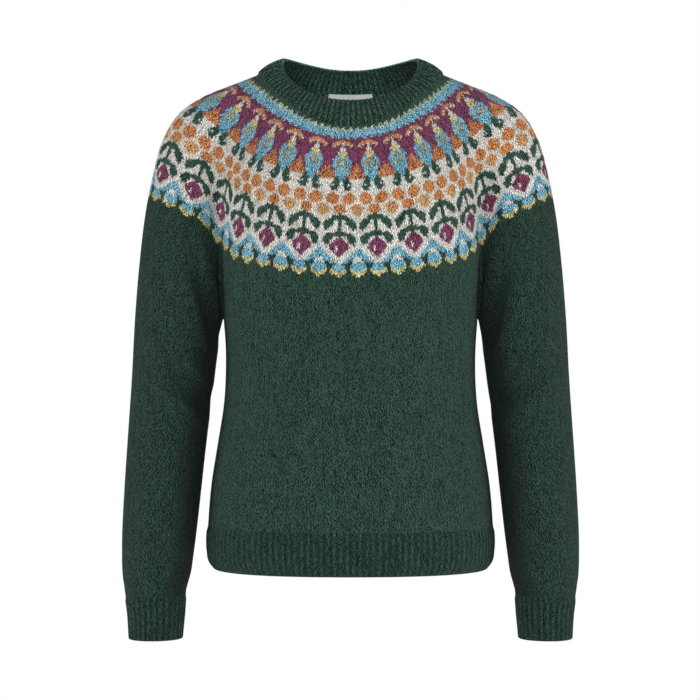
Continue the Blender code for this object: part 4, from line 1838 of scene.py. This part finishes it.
@dataclass
class Sleeve:
    """A sleeve: columns along the arm from the yoke and armhole to the cuff.

    It carries hidden: 0 where the cloth faces away from the body and 1 where it faces it.
    """

    yoke: Yoke
    finishes: Finishes
    right: bool
    folds: Folds
    rows: int = 110
    painted_shade_from: float = 0.25
    painted_shade_over: float = 0.65

    def build(self) -> tuple[Mesh, Array]:
        """Runs the columns down the arm, lays in the folds and gives the wall its thickness.

        Returns:
            The mesh and the outside's grid.
        """
        cloth, arm = self.yoke.seams.cloth, self.yoke.seams.cloth.arm
        first, last = self.yoke.arm_columns
        top = np.concatenate([self.yoke.edge[first:last], self.yoke.crease[:0:-1]])
        angle, place = arm.angle(top)
        end = arm.place_at(np.zeros(1), np.full(1, self.yoke.seams.cuff_top))[0]
        places = place + (end - place) * downwards(self.rows)
        grid = cloth.pressed(arm.point(np.broadcast_to(angle, places.shape), places))
        grid[0] = top
        way_out = cloth.normals(grid)
        way_out[-1] = levelled(way_out[-1])
        turned = np.unwrap(np.append(angle, angle[0] + 2 * np.pi)[::-1])[::-1]
        middle = (turned[:-1] + turned[1:]) / 2
        branch = 2 * np.pi * np.floor((middle + np.pi) / (2 * np.pi))
        here = arm.at(places)
        radius = (here["width"] + here["depth"]) / 2 / STITCH_WIDTH
        v = lengths(grid, 0)[:, :1] * np.ones(len(angle)) / ROW_HEIGHT
        left = np.stack([(turned[:-1] - branch) * radius, v], -1)
        right = np.stack([(turned[1:] - branch) * radius, v], -1)
        if not self.right:
            grid, way_out = (grid * MIRROR)[:, ::-1], (way_out * MIRROR)[:, ::-1]
            left, right = np.roll(right[:, ::-1], -1, axis=1), np.roll(left[:, ::-1], -1, axis=1)
        grid = self.folds.laid(grid, way_out)
        mesh = plain_wall(grid, way_out, (left, right), True)
        # Mask of painted shade: 1 where the sleeve faces the body, 0 where it faces away.
        inwards = -np.sign(grid[..., 0]) * way_out[..., 0]
        painted_shade_mask = eased((inwards - self.painted_shade_from) / self.painted_shade_over)
        painted_shade_mask = np.concatenate([painted_shade_mask, painted_shade_mask[::-1]]).reshape(-1, 1)
        mesh.colours["painted_shade_mask"] = np.repeat(painted_shade_mask, 4, axis=1)
        return mesh, grid

    def dress(self) -> bpy.types.Object:
        """Makes the piece."""
        node = "sleeve_right" if self.right else "sleeve_left"
        return dressed(*self.build(), node, "knitted", self.finishes, "hung", "yoke", True)


@dataclass
class Ribbing:
    """A ribbed band, from its seam to its rounded free end.

    Across a rib the wall's outside rises by rise * (half of 1 + cos(turn))^sharpness, and its
    inside by a little less where the outside is low. The free end is rounded over end_reach
    of half the wall's thickness.
    """

    rise: float = 0.0018
    inner_rise: float = 0.0012
    sharpness: float = 0.75
    per_rib: int = 8
    end_steps: int = 5
    end_reach: float = 0.9
    fade_rows: float = 3.0

    def build(self, grid: Array, way_out: Array, upwards: bool, wrap: bool) -> Mesh:
        """Raises the ribs on a plain grid and closes it round its free end.

        Args:
            grid: The outside's low level, rows running down, per_rib columns to each rib.
            way_out: The way out at its points.
            upwards: Whether the free end is the first row, and not the last.
            wrap: Whether the columns close.

        Returns:
            The mesh.
        """
        rows, columns = grid.shape[:2]
        turn = 2 * np.pi * np.arange(columns) / self.per_rib
        ridge = ((1 + np.cos(turn + np.pi)) / 2) ** self.sharpness
        hollow = ((1 + np.cos(turn)) / 2) ** self.sharpness
        from_seam = np.arange(rows)[::-1] if upwards else np.arange(rows)
        grown = eased(from_seam / self.fade_rows)[:, None]
        middle = grid - WALL / 2 * way_out
        outside = WALL / 2 + self.rise * grown * ridge
        inside = WALL / 2 + self.inner_rise * grown * hollow
        free = 0 if upwards else -1
        next_in = 1 if upwards else -2
        end_way = unit(middle[free] - middle[next_in])
        reach = (outside[free] + inside[free]) / 2 * self.end_reach
        middle = middle.copy()
        middle[free] = middle[free] - end_way * reach[:, None]
        outer = middle + outside[..., None] * way_out
        inner = middle - inside[..., None] * way_out
        bend = np.linspace(0, np.pi, self.end_steps + 2)[1:-1, None, None]
        thick = np.where(np.cos(bend) > 0, outside[free][:, None], inside[free][:, None])
        arc = (middle[free] + np.cos(bend) * thick * way_out[free]
               + np.sin(bend) * reach[:, None] * end_way)
        if upwards:
            rings = np.concatenate([outer, inner[::-1], arc[::-1]])
        else:
            rings = np.concatenate([outer, arc, inner[::-1]])
        u = 2 * np.arange(columns + wrap) / self.per_rib + 0.5
        step = np.linalg.norm(np.diff(rings[:, 0], axis=0), axis=-1)
        v = np.concatenate([[0], np.cumsum(step)]) / ROW_HEIGHT
        uv = np.stack(np.broadcast_arrays(u[None, :], v[:, None]), -1)
        parts = ((rows, 1), (self.end_steps, 2)) if upwards else ((self.end_steps, 2), (rows, 1))
        faces = [np.zeros(rows)] + [np.full(count, part) for count, part in parts]
        inside = np.concatenate(faces).astype(int)
        return ring_mesh(rings, uv[:, :-1], uv[:, 1:], inside, wrap)


@dataclass
class Neckband:
    """Ribbed band between the neck seam and its upper edge, slightly crowned."""

    seams: Seams
    finishes: Finishes
    ribs: int = 96
    rows: int = 26
    crown: float = 0.0030

    def dress(self) -> bpy.types.Object:
        """Makes the piece.

        Returns:
            The object.
        """
        ribbing = Ribbing()
        half = self.ribs * ribbing.per_rib // 2
        seam = self.seams.neck_ring(self.seams.neck_seam, "seam_height", half)
        edge = self.seams.neck_ring(self.seams.neck_edge, "edge_height", half)
        down = downwards(self.rows)[:, None]
        grid = mirrored((1 - down) * edge + down * seam)
        round_step = np.roll(grid, -1, axis=1) - np.roll(grid, 1, axis=1)
        band_out = unit(np.cross(np.gradient(grid, axis=0), round_step))
        near = down ** 3
        way_out = unit((1 - near) * band_out + near * self.seams.cloth.normals(grid[-1]))
        grid = grid + self.crown * 4 * down * (1 - down) * way_out
        mesh = ribbing.build(grid, way_out, upwards=True, wrap=True)
        return dressed(mesh, grid, "neckband", "ribbed", self.finishes, "draped", "yoke", True)


@dataclass
class HemBand:
    """One side's hem rib, from side seam to side seam."""

    seams: Seams
    finishes: Finishes
    front: bool
    ribs: int = 64
    rows: int = 22

    def dress(self) -> bpy.types.Object:
        """Makes the piece: columns along the body tube, evenly spaced at its top.

        Returns:
            The object.
        """
        body = self.seams.cloth.body
        ribbing = Ribbing(rise=0.0012, per_rib=6)
        fine = np.linspace(0, np.pi, 2 * self.seams.fine - 1)
        ring = body.point(fine, np.full_like(fine, self.seams.hem_top), self.front)
        ring[:, 0] *= np.sign(np.cos(fine))
        run = lengths(ring, 0)
        angle = np.interp(np.linspace(0, run[-1], self.ribs * ribbing.per_rib + 1), run, fine)
        if self.front:
            angle = angle[::-1]
        height = np.linspace(self.seams.hem_top, self.seams.hem_bottom, self.rows + 1)
        height, angle = np.broadcast_arrays(height[:, None], angle)
        grid = body.point(angle, height, self.front)
        grid[..., 0] *= np.sign(np.cos(angle))
        way_out = levelled(self.seams.cloth.normals(grid))
        mesh = ribbing.build(grid, way_out, upwards=False, wrap=False)
        above = "front" if self.front else "back"
        return dressed(mesh, grid, f"hem_{above}", "ribbed", self.finishes, "hung", above, False)


@dataclass
class Cuff:
    """A ribbed cuff, evenly spaced round the arm tube."""

    seams: Seams
    finishes: Finishes
    right: bool
    ribs: int = 30
    rows: int = 22

    def dress(self) -> bpy.types.Object:
        """Makes the piece.

        Returns:
            The object.
        """
        arm, cloth = self.seams.cloth.arm, self.seams.cloth
        ribbing = Ribbing(rise=0.0013)
        ends = np.array((self.seams.cuff_top, self.seams.cuff_bottom))
        start, end = arm.place_at(np.zeros(2), ends)
        angle = np.linspace(0, -2 * np.pi, self.ribs * ribbing.per_rib, endpoint=False)
        place = np.linspace(start, end, self.rows + 1)[:, None]
        angle, place = np.broadcast_arrays(angle, place)
        grid = cloth.pressed(arm.point(angle, place))
        if not self.right:
            grid = (grid * MIRROR)[:, ::-1]
        way_out = levelled(cloth.normals(grid))
        mesh = ribbing.build(grid, way_out, upwards=False, wrap=True)
        side = "right" if self.right else "left"
        return dressed(mesh, grid, f"cuff_{side}", "ribbed", self.finishes, "hung",
                       f"sleeve_{side}", True)


@dataclass
class Label:
    """Blank woven label inside the back neck."""

    yoke: Yoke
    finish: bpy.types.Material
    width: float = 0.052
    height: float = 0.018
    raised: float = 0.0014
    thickness: float = 0.0010
    gap: float = 0.0006
    rows: int = 24
    columns: int = 60

    def dress(self) -> bpy.types.Object:
        """Makes the piece from the back yoke's points, moved inwards.

        Returns:
            The object.
        """
        grid = self.yoke.grid
        round_seam = lengths(grid[0], 0)[-1]
        turn = 0.5 + np.linspace(-0.5, 0.5, self.columns + 1) * self.width / round_seam
        centre_back = grid.shape[1] // 2
        depth = np.linalg.norm(grid[1, centre_back] - grid[0, centre_back])
        down = np.linspace(0, self.height, self.rows + 1)[:, None]
        share, turn = np.broadcast_arrays(down / depth / self.yoke.grid_rows, turn)
        points, _ = self.yoke.read(turn.ravel(), share.ravel())
        outside = points.reshape(*share.shape, 3)
        way_out = self.yoke.seams.cloth.normals(outside)
        outside = outside + (0.0, 0.0, self.raised)
        outer = outside - (WALL + self.gap) * way_out
        rings = np.concatenate([outer, (outer - self.thickness * way_out)[::-1]])
        zero = np.zeros((*rings.shape[:2], 2))
        mesh = ring_mesh(rings, zero[:, :-1], zero[:, 1:], np.zeros(len(rings)), False)
        piece = mesh.as_piece("label_blank", [self.finish])
        declare(piece, "label")
        return piece


# ---------------------------------------------------------------- folds of the pieces


SLEEVE_FOLDS = Folds(strength=1.4, seam_fade=14.0, rows=(
    (-0.1689, -0.1894, -0.1520, -0.2629, 0.006, 0.0035, -1),
    (-0.1746, -0.2256, -0.1554, -0.2991, 0.007, -0.0050, -1),
    (-0.1880, -0.2256, -0.1667, -0.2991, 0.010, 0.0022, -1),
    (-0.1927, -0.3183, -0.1633, -0.3556, 0.008, 0.0022, -1),
    (-0.2017, -0.3363, -0.1667, -0.3838, 0.010, -0.0050, -1),
    (-0.2153, -0.3556, -0.1746, -0.3951, 0.010, 0.0030, -1),
    (-0.2350, -0.4900, -0.2020, -0.5220, 0.012, 0.0018, -1),
    (-0.2280, -0.5480, -0.1960, -0.5700, 0.009, -0.0020, -1),
    (0.1622, -0.2030, 0.1531, -0.2629, 0.006, 0.0035, -1),
    (0.1735, -0.2324, 0.1588, -0.3024, 0.008, -0.0050, -1),
    (0.1860, -0.2430, 0.1690, -0.3160, 0.010, 0.0022, -1),
    (0.2119, -0.3431, 0.1712, -0.3782, 0.012, -0.0046, -1),
    (0.2232, -0.3589, 0.1780, -0.3974, 0.010, 0.0030, -1),
    (0.2060, -0.4560, 0.2340, -0.4790, 0.012, 0.0016, -1),
    (0.2010, -0.5420, 0.2330, -0.5600, 0.009, -0.0018, -1),
    (-0.1720, -0.2200, -0.1580, -0.2950, 0.008, -0.0042, 1),
    (-0.2050, -0.3320, -0.1660, -0.3700, 0.011, -0.0040, 1),
    (-0.2120, -0.3500, -0.1740, -0.3900, 0.010, 0.0028, 1),
    (0.1700, -0.2260, 0.1600, -0.2900, 0.007, -0.0044, 1),
    (0.2080, -0.3560, 0.1700, -0.3860, 0.012, -0.0036, 1),
    (0.2160, -0.3760, 0.1790, -0.4080, 0.010, 0.0024, 1),
))
BODY_FOLDS = Folds(strength=1.25, seam_fade=12.0, rows=(
    (-0.1400, -0.2700, -0.1020, -0.3300, 0.016, 0.0016, -1),
    (0.1400, -0.2750, 0.1080, -0.3400, 0.018, 0.0015, -1),
    (-0.1300, -0.4200, -0.0500, -0.4500, 0.022, -0.0012, -1),
    (0.0300, -0.4360, 0.1200, -0.4140, 0.024, -0.0011, -1),
    (-0.0400, -0.3100, 0.0500, -0.3260, 0.028, 0.0009, -1),
    (-0.1380, -0.2400, -0.0900, -0.3100, 0.018, 0.0020, 1),
    (0.1360, -0.2450, 0.0950, -0.3000, 0.018, 0.0018, 1),
    (-0.0900, -0.3900, 0.0400, -0.4150, 0.024, -0.0018, 1),
    (0.0200, -0.3300, 0.1200, -0.3550, 0.022, -0.0014, 1),
))


# ---------------------------------------------------------------- studio


@dataclass
class Studio:
    """Pale floor, white surround, soft lights (name, place, power) and the camera."""

    camera_place: Three = (-0.0006, -2.6, -0.316)
    frame_width: float = 0.805
    sensor_width: float = 36.0
    floor_height: float = -1.0
    floor_radius: float = 1.6
    floor_points: int = 96
    floor_colour: tuple[float, ...] = (0.93, 0.93, 0.93, 1.0)
    floor_tone: float = 0.97
    floor_cloud: float = 0.03
    floor_cloud_scale: float = 3.0
    floor_roughness: float = 0.8
    surround_light: float = 0.12
    lights: tuple[tuple[str, Three, float], ...] = (
        ("front_softbox", (0.0, -3.0, 0.2), 51.0),
        ("left_softbox", (-2.2, -0.85, 0.35), 36.0),
        ("right_softbox", (2.2, -0.85, 0.35), 43.0),
        ("back_softbox", (0.0, 3.0, 0.5), 60.0),
    )
    light_size: float = 1.4
    lit_place: Three = (0.0, 0.0, -0.3)

    def build(self) -> None:
        """Makes them."""
        scene = bpy.context.scene
        scene.view_settings.view_transform = "Standard"
        world = bpy.data.worlds.new("white_surround")
        world.use_nodes = True
        tree = world.node_tree
        background = tree.nodes["Background"]
        background.inputs["Color"].default_value = (1, 1, 1, 1)
        seen = tree.nodes.new("ShaderNodeLightPath")
        strength = tree.nodes.new("ShaderNodeMapRange")
        strength.inputs["To Min"].default_value = self.surround_light
        strength.inputs["To Max"].default_value = 1.0
        tree.links.new(seen.outputs["Is Camera Ray"], strength.inputs["Value"])
        tree.links.new(strength.outputs["Result"], background.inputs["Strength"])
        scene.world = world
        self.floor()
        for light in self.lights:
            self.light(*light)
        camera = bpy.data.cameras.new("camera")
        camera.sensor_width = self.sensor_width
        camera.lens = self.sensor_width * abs(self.camera_place[1]) / self.frame_width
        holder = bpy.data.objects.new("camera", camera)
        holder.location = self.camera_place
        holder.rotation_euler = (math.pi / 2, 0, 0)
        scene.collection.objects.link(holder)
        scene.camera = holder

    def floor(self) -> None:
        """A pale disc, low enough to stay out of the front view."""
        turn = np.linspace(0, 2 * np.pi, self.floor_points, endpoint=False)
        rim = np.stack([self.floor_radius * np.cos(turn), self.floor_radius * np.sin(turn),
                        np.full_like(turn, self.floor_height)], -1)
        mesh = bpy.data.meshes.new("floor")
        mesh.from_pydata(rim.tolist(), [], [tuple(range(len(rim)))])
        shader = Shader("pale_floor")
        cloud = shader.noise(shader.place(), self.floor_cloud_scale)
        tone = self.floor_tone + self.floor_cloud * cloud
        colour = shader.scaled(self.floor_colour, tone)
        shader.feed(shader.surface.inputs["Base Color"], colour)
        shader.surface.inputs["Roughness"].default_value = self.floor_roughness
        mesh.materials.append(shader.material)
        disc = bpy.data.objects.new("floor", mesh)
        bpy.context.scene.collection.objects.link(disc)

    def light(self, name: str, place: Three, power: float) -> None:
        """One square soft light, turned to the garment.

        Args:
            name: Its name.
            place: Where it stands.
            power: Its power in watts.
        """
        lamp = bpy.data.lights.new(name, "AREA")
        lamp.size, lamp.energy = self.light_size, power
        holder = bpy.data.objects.new(name, lamp)
        holder.location = place
        way = np.array(self.lit_place) - np.array(place)
        holder.rotation_euler = (math.acos(-way[2] / np.linalg.norm(way)), 0,
                                 math.atan2(way[1], way[0]) - math.pi / 2)
        bpy.context.scene.collection.objects.link(holder)


def main() -> None:
    """Builds the pieces in order, then the studio, and notes the sizes."""
    logging.basicConfig(level=logging.INFO, format="%(name)s: %(message)s")
    seams, wool = Seams(), Wardrobe()
    yoke = Yoke(seams, wool.yoke)
    makers: list[Any] = [yoke, Neckband(seams, wool.neck_rib), Label(yoke, wool.label)]
    for front in (True, False):
        makers.append(Panel(yoke, wool.body, front, BODY_FOLDS))
        makers.append(HemBand(seams, wool.hem_rib, front))
    for right in (True, False):
        makers.append(Sleeve(yoke, wool.sleeve, right, SLEEVE_FOLDS))
        makers.append(Cuff(seams, wool.cuff_rib, right))
    total = 0
    for maker in makers:
        piece = maker.dress()
        piece.data.calc_loop_triangles()
        total += len(piece.data.loop_triangles)
        log.info("%s: %d triangles", piece.name, len(piece.data.loop_triangles))
    log.info("all pieces: %d triangles", total)
    Studio().build()


if __name__ == "__main__":
    main()
